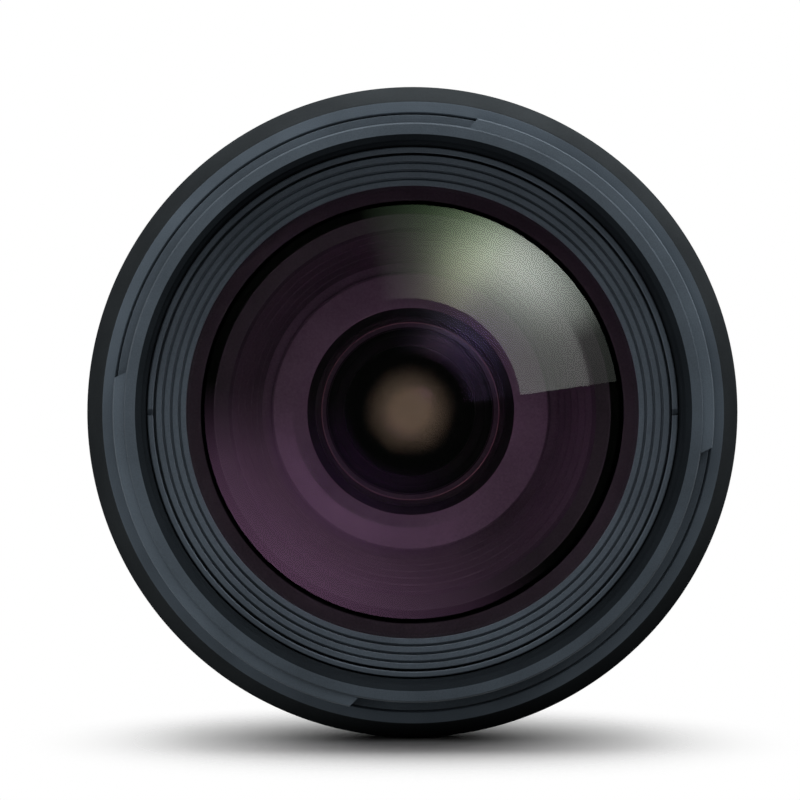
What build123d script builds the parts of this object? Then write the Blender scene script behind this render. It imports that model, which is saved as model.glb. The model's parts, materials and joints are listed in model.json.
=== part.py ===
from build123d import *
import math
import os

# A wide-angle lens with autofocus, an aperture ring and a bayonet at each end.
# The optical axis is Y. The origin is the middle of the mount's flange face, the front glass
# looks along -Y and +Z is up. Places along the axis are given as distances in front of the
# flange face ("f" in the names below), angles as degrees from +X towards +Z.
# All lengths are in millimetres.

# Clearances
SLIP = 0.03        # between two fixed pieces, one inside the other
RUNNING = 0.06     # between pieces that move on each other
AIR = 0.4          # between pieces that must not touch

# Edges and cuts
EDGE = 0.3         # bevel on outside edges
FINE_EDGE = 0.15   # bevel on small rings
BITE = 0.1         # how far a boss reaches into the wall that it stands on
CUT = 1.0          # how far a cut passes the wall that it goes through

# Filter thread and hood bayonet at the front
THREAD_MAJOR_R = 36.0
THREAD_DEPTH = 0.4
THREAD_PITCH = 0.75
THREAD_TURNS = 5
THREAD_FLANK_SHARE = 0.4
THREAD_CLEAR_OF_GLASS = 0.2
THREAD_SHOULDER = 0.4
THREAD_FOOT_WIDTH = 0.6
THREAD_FOOT_LENGTH = 1.0
THREAD_FOOT_RISE = 0.2
RIM_FACE_WIDTH = 1.5
RIM_CHAMFER = 0.35
HOOD_GROOVE_DEPTH = 2.8
HOOD_LUG_REACH = 1.44
HOOD_LUG_THICKNESS = 1.6
HOOD_LUG_SETBACK = 0.3
HOOD_LUG_SPAN = 87.5
HOOD_LUG_MIDDLE = 215.5
HOOD_LUG_SKEW = 1.6
SHOULDER_STEP_WIDTH = 1.15

# Front glass, a meniscus hollow at the back
FRONT_GLASS_R = 31.0
FRONT_GLASS_THICKNESS = 2.8
FRONT_CURVE_R = 80.0
FRONT_HOLLOW_CURVE_R = 48.0
FRONT_HOLLOW_R = 25.6
VERTEX_RECESS = 4.8
SEAT_WIDTH = 2.1
SEAT_RELIEF = 0.6
GLASS_PROUD = 0.15

# Stepped baffle ring and threaded retaining ring round the front glass
BAFFLE_LANDS = 4
BAFFLE_PITCH = 1.06
BAFFLE_GROOVE_WIDTH = 0.32
BAFFLE_GROOVE_DEPTH = 0.6
BAFFLE_STEP = 0.62
BAFFLE_LIP = 0.95
BAFFLE_FLANGE = 1.0
RETAINING_GAP = 0.35
RETAINING_WIDTH = 0.75
RETAINING_RISE = 0.1
RETAINING_EDGE = 0.12
SPANNER_SLOT = 0.8
SPANNER_SLOT_DEPTH = 1.0

# Front cell, which carries the front glass
CELL_WALL = 2.55
CELL_SHELF = 2.0
CELL_FLANGE = 2.0
CELL_NECK = 1.0

# Ribbed baffle cone behind the front glass
CONE_TOP_R = 23.85
CONE_BOTTOM_R = 21.3
CONE_RIBS = 5
CONE_RIB_DEPTH = 0.5
CONE_LENGTH = 14.2
CONE_WALL = 2.3
CONE_GAP = 0.6
CONE_RIB_FLANK_SHARE = 0.55

# Second element and its cell
SECOND_GLASS_R = 14.2
SECOND_THICKNESS = 2.0
SECOND_CURVE_R = 60.0
SECOND_HOLLOW_CURVE_R = 18.0
SECOND_HOLLOW_R = 12.2
SECOND_LIP = 1.6
SECOND_RING_WIDTH = 1.0
SECOND_RING_RISE = 1.2
SECOND_RING_RIM = 0.2
SECOND_SEAT_WIDTH = 1.8
ANNULUS_OUTER_R = 19.9
ANNULUS_INNER_R = 15.05
ANNULUS_RISE = 4.6
ANNULUS_BEVEL = 0.4
CELL_PLATE = 1.5
CELL_PLATE_DROP = 2.0

# Main tube, in which the optics sit and slide
TUBE_BORE_R = 23.0
TUBE_WALL = 2.0
TUBE_FLANGE_PLAY = 0.2
TUBE_FLANGE = 2.0
TUBE_LIP = 2.0

# Focusing group
FOCUS_TURN = 90.0
FOCUS_TRAVEL = 3.6
FOCUS_CELL_LENGTH = 8.2
FOCUS_GLASS_R = 12.5
FOCUS_SEAT = 2.0
FOCUS_RIM = 1.3
FOCUS_MOUTH = 1.5
FOCUS_MOUTH_DEPTH = 0.6
FOCUS_CELL_WALL = 3.4
FOCUS_RELIEF_WIDTH = 2.8
FOCUS_RELIEF_FLOOR = 6.0
FOCUS_FRONT_CURVE_R = 40.0
FOCUS_INNER_CURVE_R = 50.0
FOCUS_REAR_CURVE_R = 90.0
FOCUS_FRONT_THICKNESS = 5.0
FOCUS_REAR_THICKNESS = 1.6
ROLLER_R = 2.0
ROLLER_ANGLES = (90.0, 210.0, 330.0)
ROLLER_FROM_REAR = 5.1
ROLLER_SINK = 0.1
ROLLER_SCREW_R = 0.8
ROLLER_SCREW_HEAD_R = 1.4
ROLLER_SCREW_HEAD = 0.7
ROLLER_SCREW_DEPTH = 3.0

# Cam ring and the plate that drives it
CAM_WALL = 2.1
CAM_PLATE = 2.2
CAM_LENGTH = 13.8
CAM_PLATE_GAP = 2.8
KEY_ANGLE = 300.0
KEY_SPAN = 8.0
KEY_DEPTH_IN_RING = 1.8
KEY_SLOT_SPARE = 2.0

# Ring motor
MOTOR_BORE_GAP = 1.5
MOTOR_WIDTH = 5.4
ROTOR_LENGTH = 2.1
ROTOR_LIP = 1.4
STATOR_LENGTH = 4.7
STATOR_TEETH = 48
STATOR_SLOT = 0.7
STATOR_SLOT_DEPTH = 1.6
WAVE_SPRING = 0.35
WAVE_SPRING_RISE = 1.1
WAVE_SPRING_INSET = 0.4
WAVE_SPRING_FOOT = 0.6
COLLAR_LENGTH = 2.4

# Distance scale and its window
SCALE_WALL = 1.0
SCALE_LENGTH = 13.0
SCALE_GAP = 1.2
WINDOW_SETBACK = 1.0
WINDOW_LENGTH = 8.0
WINDOW_SPAN = 26.0
WINDOW_LEDGE = 0.7
WINDOW_PANE = 1.4
WINDOW_RECESS = 0.35
WINDOW_PLAY = 0.1

# Outer barrel and the rings that turn on it
BARREL_WALL = 2.0
BARREL_STEP = 2.0
BARREL_STEP_SETBACK = 1.2
BARREL_END_WALL = 0.9
BARREL_TAPER = 3.6
FOCUS_RING_WALL = 2.5
GRIP_DEPTH_IN_RING = 1.0
GRIP_BASE = 0.9
GRIP_BORDER = 0.6
FOCUS_RING_MARGIN = 3.2
GRIP_RIBS = 72
GRIP_RIB_HEIGHT = 0.65
GRIP_RIB_WIDTH = 1.9
GRIP_RIB_SLOPE = 72
BARREL_SCREW_ANGLES = (30.0, 150.0, 270.0)
BARREL_SCREW_R = 0.7
BARREL_SCREW_FROM_REAR = 1.9
BARREL_SCREW_SINK = 1.6
BARREL_SCREW_LENGTH = 4.6
SCREW_SLOT = 0.4
SCREW_SLOT_DEPTH = 0.35

# Front sleeve, the black nose of the barrel
SLEEVE_LENGTH = 20.0
SLEEVE_FACE_DROP = 3.0
SLEEVE_GAP_CHAMFER = 0.3
SLEEVE_GAP_DEPTH = 0.8
SLEEVE_FACE_WIDTH = 1.4
SLEEVE_FLANK = 7.0
SLEEVE_FLANK_BULGE = 0.45

# Aperture ring and its click
APERTURE_STOPS = 7
APERTURE_STOP_TURN = 7.0
APERTURE_RING_LENGTH = 12.4
APERTURE_RING_WALL = 2.9
APERTURE_GRIP_WALL = 3.5
APERTURE_GRIP_LENGTH = 5.2
APERTURE_GRIP_SCALLOPS = 36
APERTURE_SCALLOP_R = 1.1
APERTURE_SCALLOP_DEPTH = 0.5
APERTURE_STEP = 0.6
APERTURE_TAPER = 3.0
APERTURE_END_WALL = 0.8
CLICK_ANGLE = 60.0
CLICK_FROM_REAR = 8.7
CLICK_BALL_R = 0.8
CLICK_NOTCH_DEPTH = 0.3
CLICK_NOTCH_LENGTH = 2.4
CLICK_SPRING_SPAN = 16.0
CLICK_SPRING_THICKNESS = 0.3
CLICK_SPRING_WIDTH = 2.6
CLICK_STUB_R = 0.5

# Iris
BLADES = 7
BLADE_THICKNESS = 0.15
BLADE_LAYER = 0.21
BLADE_INNER_R = 9.9
BLADE_OUTER_R = 14.5
BLADE_START = -8.0
BLADE_SPAN = 138.0
PIVOT_R = 16.2
DRIVE_PIN_R = 15.9
DRIVE_PIN_ANGLE = 14.0
PIN_R = 0.5
PIN_PLAY = 0.05
BLADE_EAR = 1.1
SMALLEST_OPENING_R = 1.6
IRIS_PLATE = 1.0
IRIS_OPENING_R = 10.1
IRIS_RING = 1.2
IRIS_RING_INNER_R = 10.4
IRIS_RING_OUTER_R = 20.7
IRIS_COVER = 0.8
IRIS_COVER_LEDGE = 0.8
IRIS_SLOT_STEPS = 12
LEVER_ANGLE = 255.0
LEVER_SPAN = 8.0
LEVER_THICKNESS = 1.9
LEVER_TAB_LENGTH = 2.9
LEVER_TAB_FROM_REAR = 4.0
LEVER_SLOT_SPARE = 3.0

# Rear barrel and rear sleeve
JOURNAL_R = 34.0
JOURNAL_WALL = 2.4
WEB = 2.5
WEB_BORE_GAP = 0.3
REAR_PLATE = 1.5
REAR_SKIRT_LENGTH = 5.8
REAR_SKIRT_WALL = 2.9
REAR_SKIRT_LEDGE = 1.5
REAR_SKIRT_TAPER = 2.8
REAR_SKIRT_SLOPE = 0.4
REAR_FLANGE = 3.4

# Rear group
REAR_CELL_LENGTH = 28.4
REAR_CELL_FLANGE_R = 24.4
REAR_CELL_FLANGE = 1.4
REAR_CELL_FIT = 0.12
REAR_CELL_WALL = 1.2
REAR_RELIEF_WIDTH = 2.8
REAR_RELIEF_FLOOR = 14.0
REAR_GLASS_R = 14.5
REAR_GLASS_THICKNESS = 5.0
REAR_GLASS_CURVE_R = 38.0
REAR_POCKET = 9.9
DOUBLET_R = 13.5
DOUBLET_SEAT_FROM_FRONT = 10.5
DOUBLET_FRONT_CURVE_R = 38.0
DOUBLET_INNER_CURVE_R = 32.0
DOUBLET_REAR_CURVE_R = 200.0
DOUBLET_FRONT_THICKNESS = 8.0
DOUBLET_REAR_THICKNESS = 1.8
DOUBLET_RIM = 1.5
STOP_R = 11.5
GLASS_RING_WIDTH = 1.3
GLASS_RING_RISE = 0.9
REAR_SPANNER_SLOT = 1.1

# Bayonet mount at the back
THROAT_R = 22.0
SPIGOT_WALL = 1.9
FLANGE_R = 31.0
FLANGE = 2.5
SPIGOT_LENGTH = 5.5
LUG_REACH = 1.7
LUG_GAP = 2.3
LUG_THICKNESS = 1.6
LUG_SPAN = 42.0
LUG_ANGLES = (20.0, 140.0, 260.0)
LOCK_SLOT_R = 1.4
LOCK_SLOT_ANGLE = 0.0
MOUNT_SCREWS = 4
MOUNT_SCREW_CIRCLE_R = 27.8
MOUNT_SCREW_R = 0.8
MOUNT_SCREW_HEAD_R = 1.55
MOUNT_SCREW_LENGTH = 6.0
MOUNT_SCREW_CROSS = 0.7
MOUNT_SCREW_RECESS = 0.5
THROAT_PLATE = 1.0
THROAT_PLATE_DEPTH = 0.2
THROAT_OPENING = (28.0, 20.0)
THROAT_OPENING_CORNER = 4.0
CONTACTS = 8
CONTACT_STEP = 7.8
CONTACT_R = 0.5
CONTACT_CIRCLE_R = 19.9
CONTACT_RISE = 0.4
CONTACT_BLOCK_SPAN = 62.0
CONTACT_BLOCK_WIDTH = 3.9
CONTACT_BLOCK_LENGTH = 3.8
CONTACT_ANGLE = 90.0

# Control board
BOARD_THICKNESS = 1.0
BOARD_SPAN = 150.0
BOARD_ANGLE = 90.0
CHIP_SIZES = ((5.0, 4.0, 1.0), (3.6, 3.6, 0.8), (4.6, 3.0, 0.9), (2.6, 2.6, 0.7))
CHIP_SPACING = 30.0

# Focus mode switch
SWITCH_TRAVEL = 3.0
SWITCH_PLATE = (9.0, 15.0, 0.7)
SWITCH_PLATE_CORNER = 1.6
SWITCH_BOSS_MARGIN = 1.2
SWITCH_BOSS_RISE = 0.55
SWITCH_KNOB = (2.6, 5.0, 1.2)
SWITCH_BASE = (5.0, 7.0, 0.9)

# Small countersunk screws
FIRST_SCREW_ANGLE = 45.0
SCREW_R = 0.5
SCREW_HEAD_R = 0.95
SCREW_HEAD = 0.5
SCREW_LENGTH = 4.5
CELL_SCREWS = 4
SCREW_RECESS = 0.35


def sag(curve_r, radius):
    """How far a sphere falls back from its vertex at a radius."""
    return curve_r - math.sqrt(curve_r**2 - radius**2)


# Places along the axis, from the flange forwards
rear_plate_f = FLANGE
web_f = rear_plate_f + REAR_PLATE
tube_rear_f = web_f + WEB
tube_flange_f = tube_rear_f + TUBE_FLANGE
tube_flange_r = JOURNAL_R - JOURNAL_WALL - TUBE_FLANGE_PLAY
rear_skirt_f = web_f + REAR_SKIRT_LENGTH
aperture_rear_f = rear_skirt_f + RUNNING * 3
aperture_front_f = aperture_rear_f + APERTURE_RING_LENGTH
barrel_rear_f = aperture_front_f + RUNNING * 3
rear_flange_f = barrel_rear_f + REAR_FLANGE

rear_cell_rear_f = web_f - REAR_CELL_FLANGE
rear_cell_front_f = rear_cell_rear_f + REAR_CELL_LENGTH
lip_rear_f = rear_cell_front_f + AIR
iris_rear_f = lip_rear_f + TUBE_LIP
blades_f = iris_rear_f + IRIS_PLATE + BLADE_LAYER
iris_ring_f = blades_f + BLADES * BLADE_LAYER + BLADE_LAYER
iris_ring_front_f = iris_ring_f + IRIS_RING
iris_cover_f = iris_ring_front_f + AIR / 2
iris_front_f = iris_cover_f + IRIS_COVER

focus_close_f = iris_front_f + 2.5 * AIR
focus_rear_f = focus_close_f + FOCUS_TRAVEL
focus_front_f = focus_rear_f + FOCUS_CELL_LENGTH
roller_f = focus_rear_f + ROLLER_FROM_REAR
focus_seat_f = focus_rear_f + FOCUS_SEAT

second_cell_rear_f = focus_front_f + AIR
second_seat_f = second_cell_rear_f + SECOND_LIP
second_rear_f = second_seat_f + sag(SECOND_HOLLOW_CURVE_R, SECOND_HOLLOW_R)
second_front_f = second_rear_f + SECOND_THICKNESS
annulus_f = second_front_f + ANNULUS_RISE
cell_plate_f = annulus_f - CELL_PLATE_DROP
cell_plate_rear_f = cell_plate_f - CELL_PLATE
tube_front_f = cell_plate_rear_f

glass_seat_f = annulus_f + CONE_LENGTH
front_hollow_f = glass_seat_f + sag(FRONT_HOLLOW_CURVE_R, FRONT_HOLLOW_R)
front_vertex_f = front_hollow_f + FRONT_GLASS_THICKNESS
glass_edge_f = front_vertex_f - sag(FRONT_CURVE_R, FRONT_GLASS_R)
rim_f = front_vertex_f + VERTEX_RECESS
cell_top_f = glass_edge_f - BAFFLE_FLANGE - GLASS_PROUD
cell_flange_f = cell_top_f - CELL_NECK
barrel_front_f = cell_flange_f - CELL_FLANGE
sleeve_face_f = rim_f - SLEEVE_FACE_DROP
sleeve_rear_f = sleeve_face_f - SLEEVE_LENGTH + SLEEVE_FACE_DROP

# Radii, from the main tube outwards
tube_r = TUBE_BORE_R + TUBE_WALL
cam_bore_r = tube_r + RUNNING
cam_r = cam_bore_r + CAM_WALL
lever_inner_r = tube_r + AIR
lever_outer_r = lever_inner_r + LEVER_THICKNESS
motor_inner_r = lever_outer_r + MOTOR_BORE_GAP
motor_outer_r = motor_inner_r + MOTOR_WIDTH
scale_inner_r = motor_outer_r + AIR
scale_outer_r = scale_inner_r + SCALE_WALL
barrel_bore_r = scale_outer_r + SCALE_GAP
barrel_journal_r = barrel_bore_r + BARREL_WALL
barrel_outer_r = barrel_journal_r + BARREL_STEP
focus_ring_bore_r = barrel_journal_r + RUNNING
focus_ring_r = focus_ring_bore_r + FOCUS_RING_WALL + GRIP_DEPTH_IN_RING
grip_base_r = focus_ring_r - GRIP_DEPTH_IN_RING
lens_r = focus_ring_r + GRIP_RIB_HEIGHT

# The motor stands on the rear of the cam plate
cam_plate_f = iris_ring_front_f + CAM_PLATE_GAP
cam_front_f = cam_plate_f + CAM_LENGTH
stator_front_f = cam_plate_f - ROTOR_LENGTH - RUNNING
stator_rear_f = stator_front_f - STATOR_LENGTH
wave_rear_f = stator_rear_f - WAVE_SPRING - WAVE_SPRING_RISE
collar_rear_f = wave_rear_f - COLLAR_LENGTH
scale_rear_f = cam_plate_f - SCALE_LENGTH
barrel_step_f = cam_plate_f - BARREL_STEP_SETBACK
focus_ring_rear_f = barrel_step_f + RUNNING * 3
focus_ring_front_f = sleeve_rear_f - RUNNING * 3
window_f = (scale_rear_f + cam_plate_f) / 2 - WINDOW_SETBACK

# Radii at the front, from the filter thread
thread_minor_r = THREAD_MAJOR_R - THREAD_DEPTH
rim_outer_r = THREAD_MAJOR_R + RIM_CHAMFER + RIM_FACE_WIDTH
filter_ring_r = rim_outer_r + SHOULDER_STEP_WIDTH
sleeve_bore_r = filter_ring_r + SLIP
hood_shoulder_f = rim_f - HOOD_GROOVE_DEPTH
sleeve_face_inner_r = sleeve_bore_r + SLEEVE_GAP_CHAMFER
sleeve_face_outer_r = sleeve_face_inner_r + SLEEVE_FACE_WIDTH
retaining_outer_r = thread_minor_r - THREAD_FOOT_WIDTH
retaining_inner_r = retaining_outer_r - RETAINING_WIDTH
baffle_outer_r = retaining_inner_r - RETAINING_GAP
lip_r = baffle_outer_r - BAFFLE_PITCH * BAFFLE_LANDS + BAFFLE_GROOVE_WIDTH
lip_f = front_vertex_f - sag(FRONT_CURVE_R, lip_r) + BAFFLE_LIP - BAFFLE_GROOVE_DEPTH / 2
baffle_top_f = lip_f + BAFFLE_STEP * (BAFFLE_LANDS - 1)
baffle_flange_f = cell_top_f + BAFFLE_FLANGE
retaining_top_f = baffle_top_f + RETAINING_RISE
cell_outer_r = retaining_outer_r - SLIP
thread_bottom_f = front_vertex_f + THREAD_CLEAR_OF_GLASS
thread_shoulder_r = thread_minor_r - THREAD_SHOULDER

# The blades' turn, and the aperture ring's, which drives it
aperture_turn = APERTURE_STOP_TURN * (APERTURE_STOPS - 1)
blade_turn = math.degrees(2 * math.asin((BLADE_INNER_R - SMALLEST_OPENING_R) / (2 * PIVOT_R)))

# Which end of a cylinder, cone or box stands at its place
UP = (Align.CENTER, Align.CENTER, Align.MIN)
DOWN = (Align.CENTER, Align.CENTER, Align.MAX)


def polar(radius, angle, f=0.0):
    """The point at a radius and an angle, a distance in front of the flange."""
    turn = math.radians(angle)
    return Vector(radius * math.cos(turn), -f, radius * math.sin(turn))


def across(f):
    """A plane square to the axis that looks forwards, with X right and Y up."""
    return Plane(origin=(0, -f, 0), x_dir=(1, 0, 0), z_dir=(0, -1, 0))


def facing_front(radius, angle, f):
    """A small plane off the axis that looks forwards."""
    return Plane(origin=polar(radius, angle, f), x_dir=polar(1, angle), z_dir=(0, -1, 0))


def facing_rear(radius, angle, f):
    """A small plane off the axis that looks back."""
    return Plane(origin=polar(radius, angle, f), x_dir=polar(1, angle), z_dir=(0, 1, 0))


def facing_out(radius, angle, f):
    """A small plane on a round wall that looks away from the axis, with x forwards."""
    return Plane(origin=polar(radius, angle, f), x_dir=(0, -1, 0), z_dir=polar(1, angle))


def turned(*outline, mode=Mode.ADD):
    """Turn an outline of (radius, f) points about the optical axis."""
    with BuildSketch() as profile:
        Polygon(*[(radius, -f) for radius, f in outline], align=None)
    revolve(profile.sketch, axis=Axis.Y, mode=mode)


def ring(inner_r, outer_r, rear_f, front_f, mode=Mode.ADD):
    """A plain ring between two radii and two places on the axis."""
    turned((inner_r, rear_f), (outer_r, rear_f), (outer_r, front_f), (inner_r, front_f), mode=mode)


def sector(inner_r, outer_r, middle, span, skew=0.0):
    """A piece of a flat ring, in the sketch around it; skew shortens its outer arc's ends."""
    start, end = middle - span / 2, middle + span / 2
    with BuildLine() as edge:
        CenterArc((0, 0), inner_r, start, span)
        CenterArc((0, 0), outer_r, start + skew, span - 2 * skew)
        for inner_angle, outer_angle in ((start, start + skew), (end, end - skew)):
            a, b = math.radians(inner_angle), math.radians(outer_angle)
            Line(
                (inner_r * math.cos(a), inner_r * math.sin(a)),
                (outer_r * math.cos(b), outer_r * math.sin(b)),
            )
    make_face(edge.edges())


def segment(inner_r, outer_r, rear_f, front_f, middle, span, skew=0.0, mode=Mode.ADD):
    """A piece of a ring that goes part of the way round."""
    with BuildSketch(across(rear_f)) as profile:
        sector(inner_r, outer_r, middle, span, skew)
    extrude(profile.sketch, amount=front_f - rear_f, mode=mode)


def curve_f(vertex_f, curve_r, radius):
    """Where a glass surface lies at a radius; a curve of 0 is flat, and below 0 bulges back."""
    if curve_r == 0:
        return vertex_f
    return vertex_f - math.copysign(sag(abs(curve_r), radius), curve_r)


def glass(vertex_f, thickness, front_curve_r, rear_curve_r, edge_r, hollow_r=None):
    """A lens element from its two curves, with a flat rim round the rear curve if it is hollow."""
    rear_r = hollow_r or edge_r
    rear_f = vertex_f - thickness
    with BuildSketch() as profile:
        with BuildLine():
            surfaces = ((vertex_f, front_curve_r, edge_r), (rear_f, rear_curve_r, rear_r))
            for at_f, curve_r, radius in surfaces:
                middle = (radius / 2, -curve_f(at_f, curve_r, radius / 2))
                end = (radius, -curve_f(at_f, curve_r, radius))
                if curve_r:
                    ThreePointArc((0, -at_f), middle, end)
                else:
                    Line((0, -at_f), end)
            corner = (edge_r, -curve_f(rear_f, rear_curve_r, rear_r))
            if hollow_r:
                Line((rear_r, corner[1]), corner)
            Line(corner, (edge_r, -curve_f(vertex_f, front_curve_r, edge_r)))
            Line((0, -vertex_f), (0, -rear_f))
        make_face()
    revolve(profile.sketch, axis=Axis.Y)


def countersunk(shank_r, head_r, head, length, mode=Mode.ADD):
    """A flush countersunk screw, or its hole, pointing down from each place around it."""
    Cone(shank_r, head_r, head, align=DOWN, mode=mode)
    Cylinder(shank_r, length, align=DOWN, mode=mode)


def cross_recess(size, depth):
    """The cross cut into a screw's head."""
    Box(size * 2, size / 2, depth, align=DOWN, mode=Mode.SUBTRACT)
    Box(size / 2, size * 2, depth, align=DOWN, mode=Mode.SUBTRACT)


def even_angles(count, start=FIRST_SCREW_ANGLE):
    """Angles spaced evenly round the axis."""
    return [start + k * 360 / count for k in range(count)]


def save(piece, name):
    """Label a finished piece and write it to its own file."""
    piece.part.label = name
    export_step(piece.part, f"parts/{name}.step")


os.makedirs("parts", exist_ok=True)

# Front glass
with BuildPart() as front_element:
    glass(
        front_vertex_f,
        FRONT_GLASS_THICKNESS,
        FRONT_CURVE_R,
        FRONT_HOLLOW_CURVE_R,
        FRONT_GLASS_R,
        FRONT_HOLLOW_R,
    )
save(front_element, "front_element")

# Filter ring: the thread for filters inside, the lugs for the hood outside
thread_wall = []
thread_flank = THREAD_PITCH * THREAD_FLANK_SHARE
thread_top_f = rim_f - RIM_CHAMFER - THREAD_DEPTH
thread_foot_f = retaining_top_f + THREAD_FOOT_RISE - THREAD_FOOT_LENGTH
for k in range(THREAD_TURNS):
    crest_f = thread_top_f - k * THREAD_PITCH
    thread_wall.append((thread_minor_r, crest_f))
    thread_wall.append((THREAD_MAJOR_R, crest_f - thread_flank))
    thread_wall.append((thread_minor_r, crest_f - 2 * thread_flank))
with BuildPart() as filter_ring:
    turned(
        (retaining_outer_r + SLIP, cell_flange_f),
        (filter_ring_r, cell_flange_f),
        (filter_ring_r, hood_shoulder_f),
        (rim_outer_r, hood_shoulder_f),
        (rim_outer_r, rim_f - RIM_CHAMFER / 2),
        (rim_outer_r - RIM_CHAMFER / 2, rim_f),
        (THREAD_MAJOR_R + RIM_CHAMFER, rim_f),
        (thread_minor_r, rim_f - RIM_CHAMFER - THREAD_DEPTH / 2),
        *thread_wall,
        (thread_minor_r, thread_bottom_f),
        (thread_shoulder_r, thread_bottom_f - THREAD_SHOULDER),
        (thread_shoulder_r, thread_foot_f),
        (retaining_outer_r + SLIP, thread_foot_f),
    )
    lug_front_f = rim_f - HOOD_LUG_SETBACK
    for lug_turn in (0, 180):
        segment(
            rim_outer_r - BITE,
            rim_outer_r + HOOD_LUG_REACH,
            lug_front_f - HOOD_LUG_THICKNESS,
            lug_front_f,
            HOOD_LUG_MIDDLE + lug_turn,
            HOOD_LUG_SPAN,
            HOOD_LUG_SKEW,
        )
save(filter_ring, "filter_ring")

# Retaining ring, with two slots for a spanner
with BuildPart() as front_retaining_ring:
    ring(retaining_inner_r, retaining_outer_r, baffle_flange_f, retaining_top_f)
    front_edges = front_retaining_ring.edges().group_by(Axis.Y)[0]
    chamfer(front_edges, RETAINING_EDGE)
    with Locations(across(retaining_top_f)):
        slot_length = 2 * (retaining_outer_r + CUT)
        Box(slot_length, SPANNER_SLOT, SPANNER_SLOT_DEPTH, align=DOWN, mode=Mode.SUBTRACT)
save(front_retaining_ring, "front_retaining_ring")

# Stepped baffle ring, whose inner lip holds the front glass
baffle_steps = []
for land in range(BAFFLE_LANDS):
    land_f = baffle_top_f - land * BAFFLE_STEP
    land_outer_r = baffle_outer_r - land * BAFFLE_PITCH
    land_inner_r = land_outer_r - BAFFLE_PITCH + BAFFLE_GROOVE_WIDTH
    baffle_steps.append((land_outer_r, land_f))
    baffle_steps.append((land_inner_r, land_f))
    if land < BAFFLE_LANDS - 1:
        baffle_steps.append((land_inner_r, land_f - BAFFLE_STEP - BAFFLE_GROOVE_DEPTH))
        groove_inner_r = land_inner_r - BAFFLE_GROOVE_WIDTH
        baffle_steps.append((groove_inner_r, land_f - BAFFLE_STEP - BAFFLE_GROOVE_DEPTH))
with BuildPart() as front_baffle_ring:
    turned(
        (cell_outer_r, cell_top_f),
        (cell_outer_r, baffle_flange_f),
        (baffle_outer_r, baffle_flange_f),
        *baffle_steps,
        (lip_r, glass_edge_f),
        (FRONT_GLASS_R + SLIP, glass_edge_f),
        (FRONT_GLASS_R + SLIP, cell_top_f),
    )
    add(front_element.part, mode=Mode.SUBTRACT)
save(front_baffle_ring, "front_baffle_ring")

# Front cell, with the flange that closes the barrel's front end
shelf_rear_f = glass_seat_f - CELL_SHELF
seat_inner_r = FRONT_HOLLOW_R - FINE_EDGE
cell_inner_r = cell_outer_r - CELL_WALL
cell_flange_r = sleeve_bore_r - 2 * SLIP
front_screw_circle_r = (barrel_bore_r + barrel_journal_r) / 2
plate_screw_circle_r = (cell_inner_r + cell_outer_r) / 2
screw_angles = even_angles(CELL_SCREWS)
front_screw_places = [facing_front(front_screw_circle_r, a, cell_flange_f) for a in screw_angles]
plate_screw_places = [facing_rear(plate_screw_circle_r, a, cell_plate_rear_f) for a in screw_angles]
with BuildPart() as cell_screws:
    with Locations(*front_screw_places, *plate_screw_places):
        countersunk(SCREW_R, SCREW_HEAD_R, SCREW_HEAD, SCREW_LENGTH)
        cross_recess(SCREW_R, SCREW_RECESS)
save(cell_screws, "cell_screws")

with BuildPart() as front_cell:
    turned(
        (FRONT_GLASS_R + SLIP, cell_top_f),
        (cell_outer_r, cell_top_f),
        (cell_outer_r, cell_flange_f),
        (cell_flange_r, cell_flange_f),
        (cell_flange_r, barrel_front_f),
        (cell_outer_r, barrel_front_f),
        (cell_outer_r, cell_plate_f),
        (cell_inner_r, cell_plate_f),
        (cell_inner_r, shelf_rear_f),
        (CONE_TOP_R, shelf_rear_f),
        (seat_inner_r, glass_seat_f),
        (seat_inner_r + SEAT_WIDTH, glass_seat_f),
        (seat_inner_r + SEAT_WIDTH, glass_seat_f - SEAT_RELIEF),
        (FRONT_GLASS_R + SLIP, glass_seat_f - SEAT_RELIEF),
    )
    with Locations(*front_screw_places, *plate_screw_places):
        countersunk(SCREW_R, SCREW_HEAD_R, SCREW_HEAD, SCREW_LENGTH, mode=Mode.SUBTRACT)
save(front_cell, "front_cell")

# Ribbed baffle cone
cone_bottom_f = annulus_f + CONE_GAP
cone_fall = (CONE_TOP_R - CONE_BOTTOM_R) / (shelf_rear_f - cone_bottom_f)
rib_pitch = (shelf_rear_f - cone_bottom_f) / CONE_RIBS
cone_wall = []
for rib in range(CONE_RIBS):
    rib_f = shelf_rear_f - rib * rib_pitch
    rib_r = CONE_TOP_R - (rib * rib_pitch) * cone_fall
    next_r = rib_r - rib_pitch * cone_fall
    cone_wall.append((rib_r, rib_f))
    cone_wall.append((next_r, rib_f - rib_pitch * CONE_RIB_FLANK_SHARE))
    cone_wall.append((next_r + CONE_RIB_DEPTH, rib_f - rib_pitch))
with BuildPart() as ribbed_baffle:
    turned(
        *cone_wall,
        (CONE_BOTTOM_R + CONE_WALL, cone_bottom_f),
        (CONE_TOP_R + CONE_WALL, shelf_rear_f - CELL_SHELF),
        (cell_inner_r - SLIP, shelf_rear_f - CELL_SHELF),
        (cell_inner_r - SLIP, shelf_rear_f),
    )
save(ribbed_baffle, "ribbed_baffle")

# Second element, the ring that holds it, and their cell
with BuildPart() as second_element:
    glass(
        second_front_f,
        SECOND_THICKNESS,
        SECOND_CURVE_R,
        SECOND_HOLLOW_CURVE_R,
        SECOND_GLASS_R,
        SECOND_HOLLOW_R,
    )
save(second_element, "second_element")

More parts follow.
